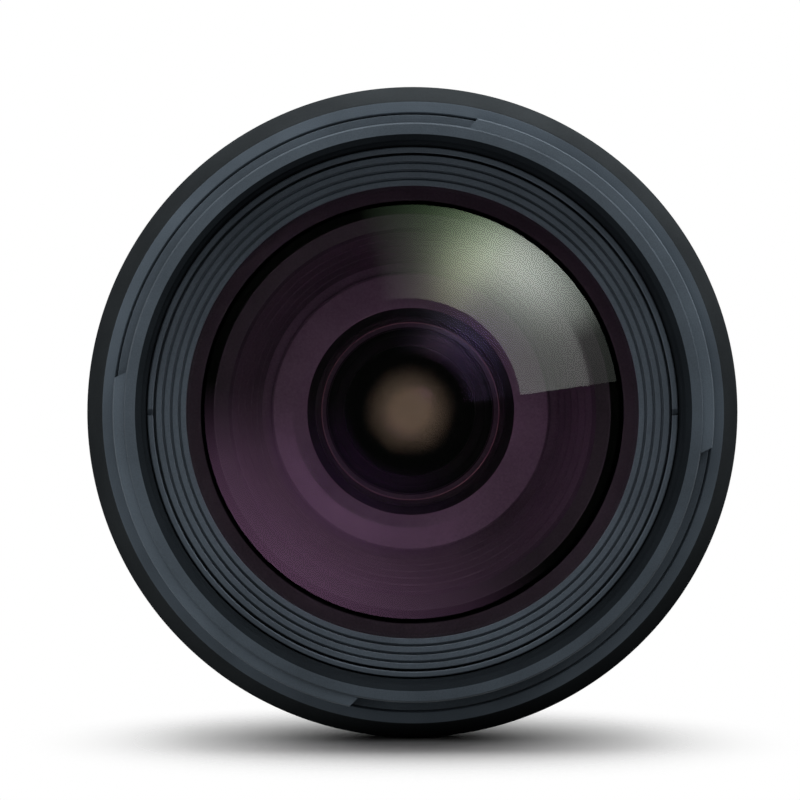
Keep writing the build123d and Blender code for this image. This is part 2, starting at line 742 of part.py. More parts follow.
second_edge_f = second_front_f - sag(SECOND_CURVE_R, SECOND_GLASS_R)
second_ring_f = second_edge_f + SECOND_RING_RISE
second_rim_r = SECOND_GLASS_R - SECOND_RING_RIM
second_ring_inner_r = SECOND_GLASS_R - SECOND_RING_WIDTH
with BuildPart() as second_retaining_ring:
    turned(
        (second_ring_inner_r, second_edge_f),
        (SECOND_GLASS_R, second_edge_f),
        (SECOND_GLASS_R, second_ring_f + FINE_EDGE),
        (second_rim_r, second_ring_f + FINE_EDGE),
        (second_rim_r - FINE_EDGE, second_ring_f),
        (second_ring_inner_r + FINE_EDGE, second_ring_f),
        (second_ring_inner_r, second_ring_f - FINE_EDGE),
    )
    add(second_element.part, mode=Mode.SUBTRACT)
save(second_retaining_ring, "second_retaining_ring")

second_bore_r = SECOND_GLASS_R + SLIP
second_seat_r = SECOND_GLASS_R - SECOND_SEAT_WIDTH
with BuildPart() as inner_cell:
    turned(
        (second_seat_r, second_cell_rear_f),
        (second_seat_r, second_seat_f),
        (second_bore_r, second_seat_f),
        (second_bore_r, second_ring_f + EDGE),
        (ANNULUS_INNER_R, annulus_f),
        (ANNULUS_OUTER_R, annulus_f),
        (ANNULUS_OUTER_R + ANNULUS_BEVEL, annulus_f - ANNULUS_BEVEL),
        (ANNULUS_OUTER_R + ANNULUS_BEVEL, cell_plate_f),
        (cell_outer_r, cell_plate_f),
        (cell_outer_r, cell_plate_rear_f),
        (TUBE_BORE_R - SLIP, cell_plate_rear_f),
        (TUBE_BORE_R - SLIP, second_cell_rear_f),
    )
    with Locations(*plate_screw_places):
        countersunk(SCREW_R, SCREW_HEAD_R, SCREW_HEAD, SCREW_LENGTH, mode=Mode.SUBTRACT)
save(inner_cell, "inner_cell")

# Front sleeve, with the rounded black flank
with BuildPart() as front_sleeve:
    with BuildSketch() as sleeve_profile:
        with BuildLine():
            flank_f = sleeve_face_f - SLEEVE_FLANK
            flank_top = (sleeve_face_outer_r + FINE_EDGE, -(sleeve_face_f - FINE_EDGE))
            flank_foot = (lens_r, -flank_f)
            Polyline(
                flank_top,
                (sleeve_face_outer_r, -sleeve_face_f),
                (sleeve_face_inner_r, -sleeve_face_f),
                (sleeve_bore_r, -(sleeve_face_f - SLEEVE_GAP_DEPTH)),
                (sleeve_bore_r, -barrel_front_f),
                (barrel_journal_r, -barrel_front_f),
                (barrel_journal_r, -sleeve_rear_f),
                (lens_r - EDGE, -sleeve_rear_f),
                (lens_r, -(sleeve_rear_f + EDGE)),
                flank_foot,
            )
            SagittaArc(flank_foot, flank_top, SLEEVE_FLANK_BULGE)
        make_face()
    revolve(axis=Axis.Y)
save(front_sleeve, "front_sleeve")

# Main tube
roller_slot_r = ROLLER_R + PIN_PLAY
lever_tab_angle = LEVER_ANGLE - aperture_turn / 2
lever_slot_span = aperture_turn + LEVER_SPAN + LEVER_SLOT_SPARE
with BuildPart() as main_tube:
    turned(
        (TUBE_BORE_R, tube_front_f),
        (tube_r, tube_front_f),
        (tube_r, tube_flange_f),
        (tube_flange_r, tube_flange_f),
        (tube_flange_r, tube_rear_f),
        (TUBE_BORE_R, tube_rear_f),
        (TUBE_BORE_R, lip_rear_f),
        (TUBE_BORE_R - TUBE_LIP, lip_rear_f),
        (TUBE_BORE_R - TUBE_LIP, iris_rear_f),
        (TUBE_BORE_R, iris_rear_f),
    )
    for angle in ROLLER_ANGLES:
        with BuildSketch(facing_out(0, angle, roller_f - FOCUS_TRAVEL / 2)):
            SlotCenterToCenter(FOCUS_TRAVEL + 2 * RUNNING, 2 * roller_slot_r)
        extrude(amount=tube_r + CUT, mode=Mode.SUBTRACT)
    segment(
        TUBE_BORE_R - CUT,
        tube_r + CUT,
        iris_ring_f - AIR,
        iris_ring_front_f + AIR,
        lever_tab_angle,
        lever_slot_span,
        mode=Mode.SUBTRACT,
    )
save(main_tube, "main_tube")

# Focusing group: two cemented elements in a sliding cell
focus_hollow_r = FOCUS_GLASS_R - FOCUS_RIM
focus_last_f = focus_seat_f + sag(FOCUS_REAR_CURVE_R, focus_hollow_r)
focus_cement_f = focus_last_f + FOCUS_REAR_THICKNESS
focus_vertex_f = focus_cement_f + FOCUS_FRONT_THICKNESS
with BuildPart() as focus_lens_front:
    glass(
        focus_vertex_f,
        FOCUS_FRONT_THICKNESS,
        FOCUS_FRONT_CURVE_R,
        -FOCUS_INNER_CURVE_R,
        FOCUS_GLASS_R,
    )
save(focus_lens_front, "focus_lens_front")

with BuildPart() as focus_lens_rear:
    glass(
        focus_cement_f,
        FOCUS_REAR_THICKNESS,
        -FOCUS_INNER_CURVE_R,
        FOCUS_REAR_CURVE_R,
        FOCUS_GLASS_R,
        focus_hollow_r,
    )
save(focus_lens_rear, "focus_lens_rear")

focus_edge_f = focus_vertex_f - sag(FOCUS_FRONT_CURVE_R, FOCUS_GLASS_R)
focus_retainer_r = FOCUS_GLASS_R - GLASS_RING_WIDTH
with BuildPart() as focus_lens_retainer:
    ring(focus_retainer_r, FOCUS_GLASS_R, focus_edge_f, focus_edge_f + GLASS_RING_RISE)
    add(focus_lens_front.part, mode=Mode.SUBTRACT)
save(focus_lens_retainer, "focus_lens_retainer")

focus_cell_r = TUBE_BORE_R - RUNNING
roller_outer_r = cam_r - ROLLER_SINK
roller_length = roller_outer_r - focus_cell_r
roller_feet = [facing_out(focus_cell_r, a, roller_f) for a in ROLLER_ANGLES]
roller_tops = [facing_out(roller_outer_r, a, roller_f) for a in ROLLER_ANGLES]
with BuildPart() as focus_rollers:
    with Locations(*roller_feet):
        Cylinder(ROLLER_R, roller_length, align=UP)
    with Locations(*roller_tops):
        CounterBoreHole(ROLLER_SCREW_R, ROLLER_SCREW_HEAD_R, ROLLER_SCREW_HEAD, roller_length)
save(focus_rollers, "focus_rollers")

with BuildPart() as roller_screws:
    with Locations(*roller_tops):
        Cylinder(ROLLER_SCREW_HEAD_R, ROLLER_SCREW_HEAD, align=DOWN)
        Cylinder(ROLLER_SCREW_R, roller_length + ROLLER_SCREW_DEPTH, align=DOWN)
        slot_length = 2 * (ROLLER_SCREW_HEAD_R + CUT)
        Box(slot_length, SCREW_SLOT, SCREW_SLOT_DEPTH, align=DOWN, mode=Mode.SUBTRACT)
save(roller_screws, "roller_screws")

focus_pocket_r = FOCUS_GLASS_R + SLIP
with BuildPart() as focus_cell:
    turned(
        (focus_hollow_r, focus_rear_f),
        (focus_cell_r, focus_rear_f),
        (focus_cell_r, focus_front_f),
        (focus_pocket_r + FOCUS_MOUTH, focus_front_f),
        (focus_pocket_r, focus_front_f - FOCUS_MOUTH_DEPTH),
        (focus_pocket_r, focus_seat_f),
        (focus_hollow_r, focus_seat_f),
    )
    relief_r = focus_cell_r - FOCUS_CELL_WALL
    relief_rear_f = focus_rear_f + FOCUS_RELIEF_FLOOR
    ring(relief_r - FOCUS_RELIEF_WIDTH, relief_r, relief_rear_f, focus_front_f, mode=Mode.SUBTRACT)
    with Locations(*roller_feet):
        Cylinder(ROLLER_SCREW_R, ROLLER_SCREW_DEPTH, align=DOWN, mode=Mode.SUBTRACT)
save(focus_cell, "focus_cell")

# Cam ring, whose helical slots move the rollers along the tube
slot_turns = FOCUS_TURN / 360
with BuildPart() as cam_slot:
    with BuildLine() as slot_path:
        Helix(
            FOCUS_TRAVEL / slot_turns,
            FOCUS_TRAVEL,
            cam_bore_r + CAM_WALL / 2,
            center=(0, -roller_f, 0),
            direction=(0, 1, 0),
            lefthand=True,
        )
    start = slot_path.line @ 0
    heading = slot_path.line % 0
    with BuildSketch(Plane(origin=start, x_dir=(0, 0, 1), z_dir=heading)):
        Rectangle(CAM_WALL * 2, 2 * roller_slot_r)
    sweep(path=slot_path.line, is_frenet=True)
    for angle, slot_f in ((90.0, roller_f), (90.0 + FOCUS_TURN, roller_f - FOCUS_TRAVEL)):
        with Locations(facing_out(cam_bore_r - CAM_WALL / 2, angle, slot_f)):
            Cylinder(roller_slot_r, CAM_WALL * 2, align=UP)

with BuildPart() as cam_ring:
    turned(
        (cam_bore_r, cam_plate_f),
        (scale_outer_r, cam_plate_f),
        (scale_outer_r, cam_plate_f + CAM_PLATE),
        (cam_r, cam_plate_f + CAM_PLATE),
        (cam_r, cam_front_f),
        (cam_bore_r, cam_front_f),
    )
    for angle in ROLLER_ANGLES:
        add(cam_slot.part.rotate(Axis.Y, 90 - angle), mode=Mode.SUBTRACT)
save(cam_ring, "cam_ring")

with BuildPart() as focus_key:
    segment(
        scale_outer_r,
        focus_ring_bore_r + KEY_DEPTH_IN_RING,
        cam_plate_f,
        cam_plate_f + CAM_PLATE,
        KEY_ANGLE,
        KEY_SPAN,
    )
save(focus_key, "focus_key")

with BuildPart() as distance_scale:
    ring(scale_inner_r, scale_outer_r, scale_rear_f, cam_plate_f)
save(distance_scale, "distance_scale")

# Ring motor, from the cam plate back
with BuildPart() as motor_rotor:
    ring(motor_inner_r, motor_outer_r, cam_plate_f - ROTOR_LENGTH, cam_plate_f)
    ring(
        motor_inner_r + ROTOR_LIP,
        motor_outer_r - ROTOR_LIP,
        cam_plate_f - ROTOR_LENGTH / 2,
        cam_plate_f,
        mode=Mode.SUBTRACT,
    )
save(motor_rotor, "motor_rotor")

with BuildPart() as motor_stator:
    ring(motor_inner_r, motor_outer_r, stator_rear_f, stator_front_f)
    with BuildSketch(across(stator_front_f)):
        with PolarLocations((motor_inner_r + motor_outer_r) / 2, STATOR_TEETH):
            Rectangle(MOTOR_WIDTH + CUT, STATOR_SLOT)
    extrude(amount=-STATOR_SLOT_DEPTH, mode=Mode.SUBTRACT)
save(motor_stator, "motor_stator")

spring_inner_r = motor_inner_r + WAVE_SPRING_INSET
spring_outer_r = motor_outer_r - WAVE_SPRING_INSET
with BuildPart() as motor_spring:
    turned(
        (spring_inner_r, wave_rear_f),
        (spring_inner_r, wave_rear_f + WAVE_SPRING),
        (spring_outer_r - WAVE_SPRING_FOOT, stator_rear_f),
        (spring_outer_r, stator_rear_f),
        (spring_outer_r, stator_rear_f - WAVE_SPRING),
        (spring_outer_r - WAVE_SPRING_FOOT, stator_rear_f - WAVE_SPRING),
        (spring_inner_r + WAVE_SPRING_FOOT, wave_rear_f),
    )
save(motor_spring, "motor_spring")

with BuildPart() as motor_collar:
    ring(tube_r, motor_outer_r, collar_rear_f, wave_rear_f)
    segment(
        tube_r - CUT,
        lever_outer_r + AIR,
        collar_rear_f,
        wave_rear_f,
        lever_tab_angle,
        lever_slot_span,
        mode=Mode.SUBTRACT,
    )
    outer_edges = motor_collar.edges().filter_by(GeomType.CIRCLE).sort_by(SortBy.RADIUS)[-2:]
    chamfer(outer_edges, EDGE)
save(motor_collar, "motor_collar")

# Outer barrel, which everything turns on
pane_rear_f = window_f - WINDOW_LENGTH / 2 - WINDOW_LEDGE
pane_front_f = window_f + WINDOW_LENGTH / 2 + WINDOW_LEDGE
pane_outer_r = barrel_outer_r - WINDOW_RECESS
pane_inner_r = pane_outer_r - WINDOW_PANE
pane_span = WINDOW_SPAN + 2 * math.degrees(WINDOW_LEDGE / barrel_outer_r)
key_slot_middle = KEY_ANGLE - FOCUS_TURN / 2
switch_f = window_f
boss_x = barrel_outer_r + SWITCH_BOSS_RISE
plate_x = boss_x - SWITCH_PLATE[2]
base_x = plate_x - SWITCH_BASE[2] - RUNNING
switch_plane = Plane(origin=(0, -switch_f, 0), x_dir=(0, -1, 0), z_dir=(1, 0, 0))
barrel_screw_f = barrel_rear_f + BARREL_SCREW_FROM_REAR
barrel_screw_hole = BARREL_SCREW_SINK + BARREL_SCREW_LENGTH + AIR
barrel_screw_places = [facing_out(barrel_outer_r, a, barrel_screw_f) for a in BARREL_SCREW_ANGLES]
with BuildPart() as outer_barrel:
    turned(
        (barrel_bore_r, barrel_rear_f),
        (barrel_bore_r + BARREL_END_WALL, barrel_rear_f),
        (barrel_outer_r, barrel_rear_f + BARREL_TAPER),
        (barrel_outer_r, barrel_step_f - EDGE),
        (barrel_outer_r - EDGE, barrel_step_f),
        (barrel_journal_r, barrel_step_f),
        (barrel_journal_r, barrel_front_f),
        (barrel_bore_r, barrel_front_f),
    )
    with BuildSketch(switch_plane.offset(barrel_bore_r)):
        RectangleRounded(
            SWITCH_PLATE[0] + 2 * SWITCH_BOSS_MARGIN,
            SWITCH_PLATE[1] + 2 * SWITCH_BOSS_MARGIN,
            SWITCH_PLATE_CORNER + SWITCH_BOSS_MARGIN,
        )
    extrude(amount=boss_x - barrel_bore_r)
    ring(0, barrel_bore_r, barrel_rear_f, barrel_front_f, mode=Mode.SUBTRACT)
    with BuildSketch(switch_plane.offset(plate_x)):
        RectangleRounded(SWITCH_PLATE[0] + 2 * SLIP, SWITCH_PLATE[1] + 2 * SLIP, SWITCH_PLATE_CORNER)
    extrude(amount=SWITCH_PLATE[2] + CUT, mode=Mode.SUBTRACT)
    with BuildSketch(switch_plane.offset(base_x)):
        Rectangle(SWITCH_BASE[0] + 2 * RUNNING, SWITCH_BASE[1] + SWITCH_TRAVEL + 4 * RUNNING)
    extrude(amount=plate_x - base_x + BITE, mode=Mode.SUBTRACT)
    segment(
        barrel_bore_r - CUT,
        barrel_outer_r + CUT,
        window_f - WINDOW_LENGTH / 2,
        window_f + WINDOW_LENGTH / 2,
        90.0,
        WINDOW_SPAN,
        mode=Mode.SUBTRACT,
    )
    segment(
        pane_inner_r,
        barrel_outer_r + CUT,
        pane_rear_f,
        pane_front_f,
        90.0,
        pane_span,
        mode=Mode.SUBTRACT,
    )
    segment(
        barrel_bore_r - CUT,
        barrel_journal_r + CUT,
        cam_plate_f - AIR,
        cam_plate_f + CAM_PLATE + AIR,
        key_slot_middle,
        FOCUS_TURN + KEY_SPAN + KEY_SLOT_SPARE,
        mode=Mode.SUBTRACT,
    )
    with Locations(*barrel_screw_places):
        Cylinder(BARREL_SCREW_R, 2 * (barrel_outer_r - barrel_bore_r + CUT), mode=Mode.SUBTRACT)
    with Locations(*front_screw_places):
        Cylinder(SCREW_R, SCREW_LENGTH, align=DOWN, mode=Mode.SUBTRACT)
save(outer_barrel, "outer_barrel")

with BuildPart() as scale_window:
    segment(pane_inner_r, pane_outer_r, pane_rear_f, pane_front_f, 90.0, pane_span - WINDOW_PLAY)
save(scale_window, "scale_window")

with BuildPart() as barrel_screws:
    screw_top_r = barrel_outer_r - BARREL_SCREW_SINK
    with Locations(*[facing_out(screw_top_r, a, barrel_screw_f) for a in BARREL_SCREW_ANGLES]):
        Cylinder(BARREL_SCREW_R, BARREL_SCREW_LENGTH, align=DOWN)
        slot_length = 2 * (BARREL_SCREW_R + CUT)
        Box(slot_length, SCREW_SLOT, SCREW_SLOT_DEPTH, align=DOWN, mode=Mode.SUBTRACT)
save(barrel_screws, "barrel_screws")

# Focus ring and its ribbed rubber grip
with BuildPart() as focus_ring:
    turned(
        (focus_ring_bore_r, focus_ring_rear_f),
        (focus_ring_r - EDGE, focus_ring_rear_f),
        (focus_ring_r, focus_ring_rear_f + EDGE),
        (focus_ring_r, focus_ring_rear_f + FOCUS_RING_MARGIN),
        (grip_base_r, focus_ring_rear_f + FOCUS_RING_MARGIN),
        (grip_base_r, focus_ring_front_f - FOCUS_RING_MARGIN),
        (focus_ring_r, focus_ring_front_f - FOCUS_RING_MARGIN),
        (focus_ring_r, focus_ring_front_f - EDGE),
        (focus_ring_r - EDGE, focus_ring_front_f),
        (focus_ring_bore_r, focus_ring_front_f),
    )
    add(focus_key.part, mode=Mode.SUBTRACT)
save(focus_ring, "focus_ring")

grip_rear_f = focus_ring_rear_f + FOCUS_RING_MARGIN
grip_front_f = focus_ring_front_f - FOCUS_RING_MARGIN
grip_skin_r = grip_base_r + GRIP_BASE
with BuildPart() as focus_grip:
    ring(grip_base_r, grip_skin_r, grip_rear_f, grip_front_f)
    with BuildSketch(across(grip_rear_f + GRIP_BORDER)):
        with PolarLocations(grip_skin_r - 2 * BITE, GRIP_RIBS):
            Trapezoid(
                GRIP_RIB_WIDTH,
                GRIP_RIB_WIDTH,
                GRIP_RIB_SLOPE,
                rotation=-90,
                align=(Align.CENTER, Align.MIN),
            )
        with Locations((0, 0)):
            Circle(lens_r, mode=Mode.INTERSECT)
    extrude(amount=grip_front_f - grip_rear_f - 2 * GRIP_BORDER)
save(focus_grip, "focus_grip")

# Rear barrel, with the journal that the aperture ring turns on
click_f = aperture_rear_f + CLICK_FROM_REAR
lever_tab_f = aperture_rear_f + LEVER_TAB_FROM_REAR
journal_bore_r = JOURNAL_R - JOURNAL_WALL
web_bore_r = TUBE_BORE_R + WEB_BORE_GAP
mount_screw_angles = even_angles(MOUNT_SCREWS)
with BuildPart() as rear_barrel:
    turned(
        (web_bore_r, web_f),
        (JOURNAL_R, web_f),
        (JOURNAL_R, barrel_rear_f),
        (barrel_bore_r - SLIP, barrel_rear_f),
        (barrel_bore_r - SLIP, rear_flange_f),
        (journal_bore_r, rear_flange_f),
        (journal_bore_r, tube_rear_f),
        (web_bore_r, tube_rear_f),
    )
    segment(
        journal_bore_r - CUT,
        JOURNAL_R + CUT,
        lever_tab_f - AIR,
        lever_tab_f + LEVER_TAB_LENGTH + AIR,
        lever_tab_angle,
        lever_slot_span,
        mode=Mode.SUBTRACT,
    )
    with Locations(facing_out(JOURNAL_R, CLICK_ANGLE, click_f)):
        Cylinder(CLICK_BALL_R + SLIP, 2 * (JOURNAL_WALL + CUT), mode=Mode.SUBTRACT)
    with Locations(*barrel_screw_places):
        Cylinder(BARREL_SCREW_R, 2 * barrel_screw_hole, mode=Mode.SUBTRACT)
    with Locations(*[facing_rear(MOUNT_SCREW_CIRCLE_R, a, web_f) for a in mount_screw_angles]):
        Cylinder(MOUNT_SCREW_R, 2 * (MOUNT_SCREW_LENGTH - FLANGE - REAR_PLATE), mode=Mode.SUBTRACT)
save(rear_barrel, "rear_barrel")

ball_middle_r = JOURNAL_R + RUNNING / 3 - CLICK_BALL_R
with BuildPart() as click_ball:
    with Locations(polar(ball_middle_r, CLICK_ANGLE, click_f)):
        Sphere(CLICK_BALL_R)
save(click_ball, "click_ball")

stub_foot_r = journal_bore_r - BITE
with BuildPart() as click_spring:
    segment(
        journal_bore_r - CLICK_SPRING_THICKNESS,
        journal_bore_r,
        click_f - CLICK_SPRING_WIDTH / 2,
        click_f + CLICK_SPRING_WIDTH / 2,
        CLICK_ANGLE,
        CLICK_SPRING_SPAN,
    )
    with Locations(facing_out(stub_foot_r, CLICK_ANGLE, click_f)):
        Cylinder(CLICK_STUB_R, ball_middle_r - CLICK_BALL_R - stub_foot_r, align=UP)
save(click_spring, "click_spring")

# Aperture ring, with scalloped grip and a notch for each stop
ring_bore_r = JOURNAL_R + RUNNING
aperture_grip_r = JOURNAL_R + APERTURE_GRIP_WALL
aperture_grip_f = aperture_rear_f + APERTURE_GRIP_LENGTH
scallop_circle_r = aperture_grip_r + APERTURE_SCALLOP_R - APERTURE_SCALLOP_DEPTH
with BuildPart() as aperture_ring:
    turned(
        (ring_bore_r, aperture_rear_f),
        (aperture_grip_r - EDGE, aperture_rear_f),
        (aperture_grip_r, aperture_rear_f + EDGE),
        (aperture_grip_r, aperture_grip_f),
        (JOURNAL_R + APERTURE_RING_WALL, aperture_grip_f + APERTURE_STEP),
        (JOURNAL_R + APERTURE_RING_WALL, aperture_front_f - APERTURE_TAPER),
        (barrel_bore_r + APERTURE_END_WALL, aperture_front_f),
        (ring_bore_r, aperture_front_f),
    )
    with BuildSketch(across(aperture_rear_f)):
        with PolarLocations(scallop_circle_r, APERTURE_GRIP_SCALLOPS):
            Circle(APERTURE_SCALLOP_R)
    extrude(amount=APERTURE_GRIP_LENGTH, mode=Mode.SUBTRACT)
    stops = [CLICK_ANGLE + k * APERTURE_STOP_TURN for k in range(APERTURE_STOPS)]
    notch_r = ring_bore_r + CLICK_NOTCH_DEPTH - CLICK_BALL_R
    with Locations(*[facing_front(notch_r, a, click_f) for a in stops]):
        Cylinder(CLICK_BALL_R, CLICK_NOTCH_LENGTH, mode=Mode.SUBTRACT)
save(aperture_ring, "aperture_ring")

# Lever from the aperture ring to the iris
with BuildPart() as iris_lever:
    segment(
        lever_inner_r,
        ring_bore_r,
        lever_tab_f,
        lever_tab_f + LEVER_TAB_LENGTH,
        LEVER_ANGLE,
        LEVER_SPAN,
    )
    segment(lever_inner_r, lever_outer_r, lever_tab_f, iris_ring_front_f, LEVER_ANGLE, LEVER_SPAN)
save(iris_lever, "iris_lever")

# Iris: housing, blades, slotted ring and cover
housing_bore_r = IRIS_RING_OUTER_R + 2 * RUNNING
with BuildPart() as iris_housing:
    turned(
        (IRIS_OPENING_R, iris_rear_f),
        (TUBE_BORE_R - SLIP, iris_rear_f),
        (TUBE_BORE_R - SLIP, iris_front_f),
        (housing_bore_r + IRIS_COVER_LEDGE, iris_front_f),
        (housing_bore_r + IRIS_COVER_LEDGE, iris_cover_f),
        (housing_bore_r, iris_cover_f),
        (housing_bore_r, iris_rear_f + IRIS_PLATE),
        (IRIS_OPENING_R, iris_rear_f + IRIS_PLATE),
    )
    segment(
        housing_bore_r - CUT,
        TUBE_BORE_R + CUT,
        iris_ring_f - AIR / 2,
        iris_cover_f,
        lever_tab_angle,
        lever_slot_span,
        mode=Mode.SUBTRACT,
    )
    with Locations(*[facing_front(PIVOT_R, a, iris_rear_f) for a in even_angles(BLADES, 0.0)]):
        Cylinder(PIN_R + PIN_PLAY, 2 * (IRIS_PLATE + CUT), mode=Mode.SUBTRACT)
save(iris_housing, "iris_housing")


def drive_pin_place(share):
    """Where a drive pin stands in the slotted ring once the blade has turned by a share."""
    turn = math.radians(blade_turn * share)
    pivot = Vector(PIVOT_R, 0)
    arm = Vector(
        DRIVE_PIN_R * math.cos(math.radians(DRIVE_PIN_ANGLE)),
        DRIVE_PIN_R * math.sin(math.radians(DRIVE_PIN_ANGLE)),
    ) - pivot
    x = pivot.X + arm.X * math.cos(turn) - arm.Y * math.sin(turn)
    y = arm.X * math.sin(turn) + arm.Y * math.cos(turn)
    angle = math.atan2(y, x) + math.radians(aperture_turn * share)
    radius = math.hypot(x, y)
    return (radius * math.cos(angle), radius * math.sin(angle))


with BuildPart() as iris_ring:
    ring(IRIS_RING_INNER_R, IRIS_RING_OUTER_R, iris_ring_f, iris_ring_front_f)
    segment(
        IRIS_RING_OUTER_R - BITE,
        lever_inner_r,
        iris_ring_f,
        iris_ring_front_f,
        LEVER_ANGLE,
        LEVER_SPAN,
    )
    slot_places = [drive_pin_place(k / IRIS_SLOT_STEPS) for k in range(IRIS_SLOT_STEPS + 1)]
    with BuildSketch(across(iris_ring_f)) as slots:
        with BuildLine() as slot_line:
            Spline(*slot_places)
        trace(slot_line.line, line_width=2 * (PIN_R + PIN_PLAY))
        with Locations(slot_places[0], slot_places[-1]):
            Circle(PIN_R + PIN_PLAY)
    for angle in even_angles(BLADES, 0.0):
        extrude(slots.sketch.rotate(Axis.Y, -angle), amount=IRIS_RING, mode=Mode.SUBTRACT)
save(iris_ring, "iris_ring")

with BuildPart() as iris_cover:
    ring(IRIS_RING_INNER_R, housing_bore_r + IRIS_COVER_LEDGE - SLIP, iris_cover_f, iris_front_f)
save(iris_cover, "iris_cover")

pivot_foot_f = iris_rear_f + BLADE_LAYER
drive_pin_top_f = iris_ring_front_f - BLADE_LAYER / 2
for k, blade_angle in enumerate(even_angles(BLADES, 0.0)):
    blade_f = blades_f + k * BLADE_LAYER
    with BuildPart() as iris_blade:
        with BuildSketch(across(blade_f)) as blade_outline:
            sector(BLADE_INNER_R, BLADE_OUTER_R, BLADE_START + BLADE_SPAN / 2, BLADE_SPAN)
            sector(
                (BLADE_INNER_R + BLADE_OUTER_R) / 2,
                PIVOT_R,
                DRIVE_PIN_ANGLE / 2,
                DRIVE_PIN_ANGLE + 2 * math.degrees(BLADE_EAR / PIVOT_R),
            )
            for pin_angle, pin_circle_r in ((0.0, PIVOT_R), (DRIVE_PIN_ANGLE, DRIVE_PIN_R)):
                with PolarLocations(pin_circle_r, 1, start_angle=pin_angle):
                    Circle(BLADE_EAR)
        extrude(amount=BLADE_THICKNESS)
        with Locations(facing_front(PIVOT_R, 0, pivot_foot_f)):
            Cylinder(PIN_R, blade_f + BLADE_THICKNESS - pivot_foot_f, align=UP)
        with Locations(facing_front(DRIVE_PIN_R, DRIVE_PIN_ANGLE, blade_f)):
            Cylinder(PIN_R, drive_pin_top_f - blade_f, align=UP)
    iris_blade.part = iris_blade.part.rotate(Axis.Y, -blade_angle)
    save(iris_blade, f"iris_blade_{k + 1}")

# Rear group: a cemented pair and the last element in one cell
rear_pocket_f = rear_cell_rear_f + REAR_POCKET
doublet_seat_f = rear_cell_front_f - DOUBLET_SEAT_FROM_FRONT
doublet_hollow_r = DOUBLET_R - DOUBLET_RIM
doublet_last_f = doublet_seat_f + sag(DOUBLET_REAR_CURVE_R, doublet_hollow_r)
doublet_cement_f = doublet_last_f + DOUBLET_REAR_THICKNESS
doublet_vertex_f = doublet_cement_f + DOUBLET_FRONT_THICKNESS
with BuildPart() as rear_doublet_front:
    glass(
        doublet_vertex_f,
        DOUBLET_FRONT_THICKNESS,
        DOUBLET_FRONT_CURVE_R,
        -DOUBLET_INNER_CURVE_R,
        DOUBLET_R,
    )
save(rear_doublet_front, "rear_doublet_front")

with BuildPart() as rear_doublet_back:
    glass(
        doublet_cement_f,
        DOUBLET_REAR_THICKNESS,
        -DOUBLET_INNER_CURVE_R,
        DOUBLET_REAR_CURVE_R,
        DOUBLET_R,
        doublet_hollow_r,
    )
save(rear_doublet_back, "rear_doublet_back")

with BuildPart() as rear_element:
    glass(rear_pocket_f, REAR_GLASS_THICKNESS, 0, -REAR_GLASS_CURVE_R, REAR_GLASS_R)
save(rear_element, "rear_element")

doublet_edge_f = doublet_vertex_f - sag(DOUBLET_FRONT_CURVE_R, DOUBLET_R)
with BuildPart() as doublet_retainer:
    doublet_ring_f = doublet_edge_f + GLASS_RING_RISE
    ring(DOUBLET_R - GLASS_RING_WIDTH, DOUBLET_R, doublet_edge_f, doublet_ring_f)
    add(rear_doublet_front.part, mode=Mode.SUBTRACT)
save(doublet_retainer, "doublet_retainer")

rear_edge_f = rear_pocket_f - REAR_GLASS_THICKNESS + sag(REAR_GLASS_CURVE_R, REAR_GLASS_R)
rear_ring_f = rear_edge_f - GLASS_RING_RISE
with BuildPart() as rear_retaining_ring:
    ring(REAR_GLASS_R - GLASS_RING_WIDTH, REAR_GLASS_R, rear_ring_f, rear_edge_f)
    add(rear_element.part, mode=Mode.SUBTRACT)
    with Locations(facing_rear(0, 0, rear_ring_f)):
        slot_length = 2 * (REAR_GLASS_R + CUT)
        Box(slot_length, REAR_SPANNER_SLOT, GLASS_RING_RISE, mode=Mode.SUBTRACT)
save(rear_retaining_ring, "rear_retaining_ring")

with BuildPart() as rear_cell:
    turned(
        (REAR_GLASS_R + SLIP, rear_cell_rear_f),
        (REAR_CELL_FLANGE_R, rear_cell_rear_f),
        (REAR_CELL_FLANGE_R, web_f),
        (TUBE_BORE_R - SLIP, web_f),
        (TUBE_BORE_R - SLIP, rear_cell_front_f),
        (DOUBLET_R + SLIP, rear_cell_front_f),
        (DOUBLET_R + SLIP, doublet_seat_f),
        (STOP_R, doublet_seat_f),
        (STOP_R, rear_pocket_f),
        (REAR_GLASS_R + SLIP, rear_pocket_f),
    )
    relief_r = TUBE_BORE_R - REAR_CELL_WALL
    relief_rear_f = web_f + REAR_RELIEF_FLOOR
    ring(relief_r - REAR_RELIEF_WIDTH, relief_r, relief_rear_f, rear_cell_front_f, mode=Mode.SUBTRACT)
save(rear_cell, "rear_cell")

# Rear sleeve, between the mount and the aperture ring
rear_sleeve_bore_r = REAR_CELL_FLANGE_R + REAR_CELL_FIT
rear_skirt_r = JOURNAL_R + REAR_SKIRT_WALL
with BuildPart() as rear_sleeve:
    turned(
        (rear_sleeve_bore_r, rear_plate_f),
        (FLANGE_R + REAR_SKIRT_LEDGE, rear_plate_f),
        (rear_skirt_r - REAR_SKIRT_SLOPE, rear_plate_f + REAR_SKIRT_TAPER),
        (rear_skirt_r, rear_skirt_f),
        (JOURNAL_R, rear_skirt_f),
        (JOURNAL_R, web_f),
        (rear_sleeve_bore_r, web_f),
    )
    with Locations(*[facing_rear(MOUNT_SCREW_CIRCLE_R, a, rear_plate_f) for a in mount_screw_angles]):
        Cylinder(MOUNT_SCREW_R, 2 * (REAR_PLATE + CUT), mode=Mode.SUBTRACT)
save(rear_sleeve, "rear_sleeve")

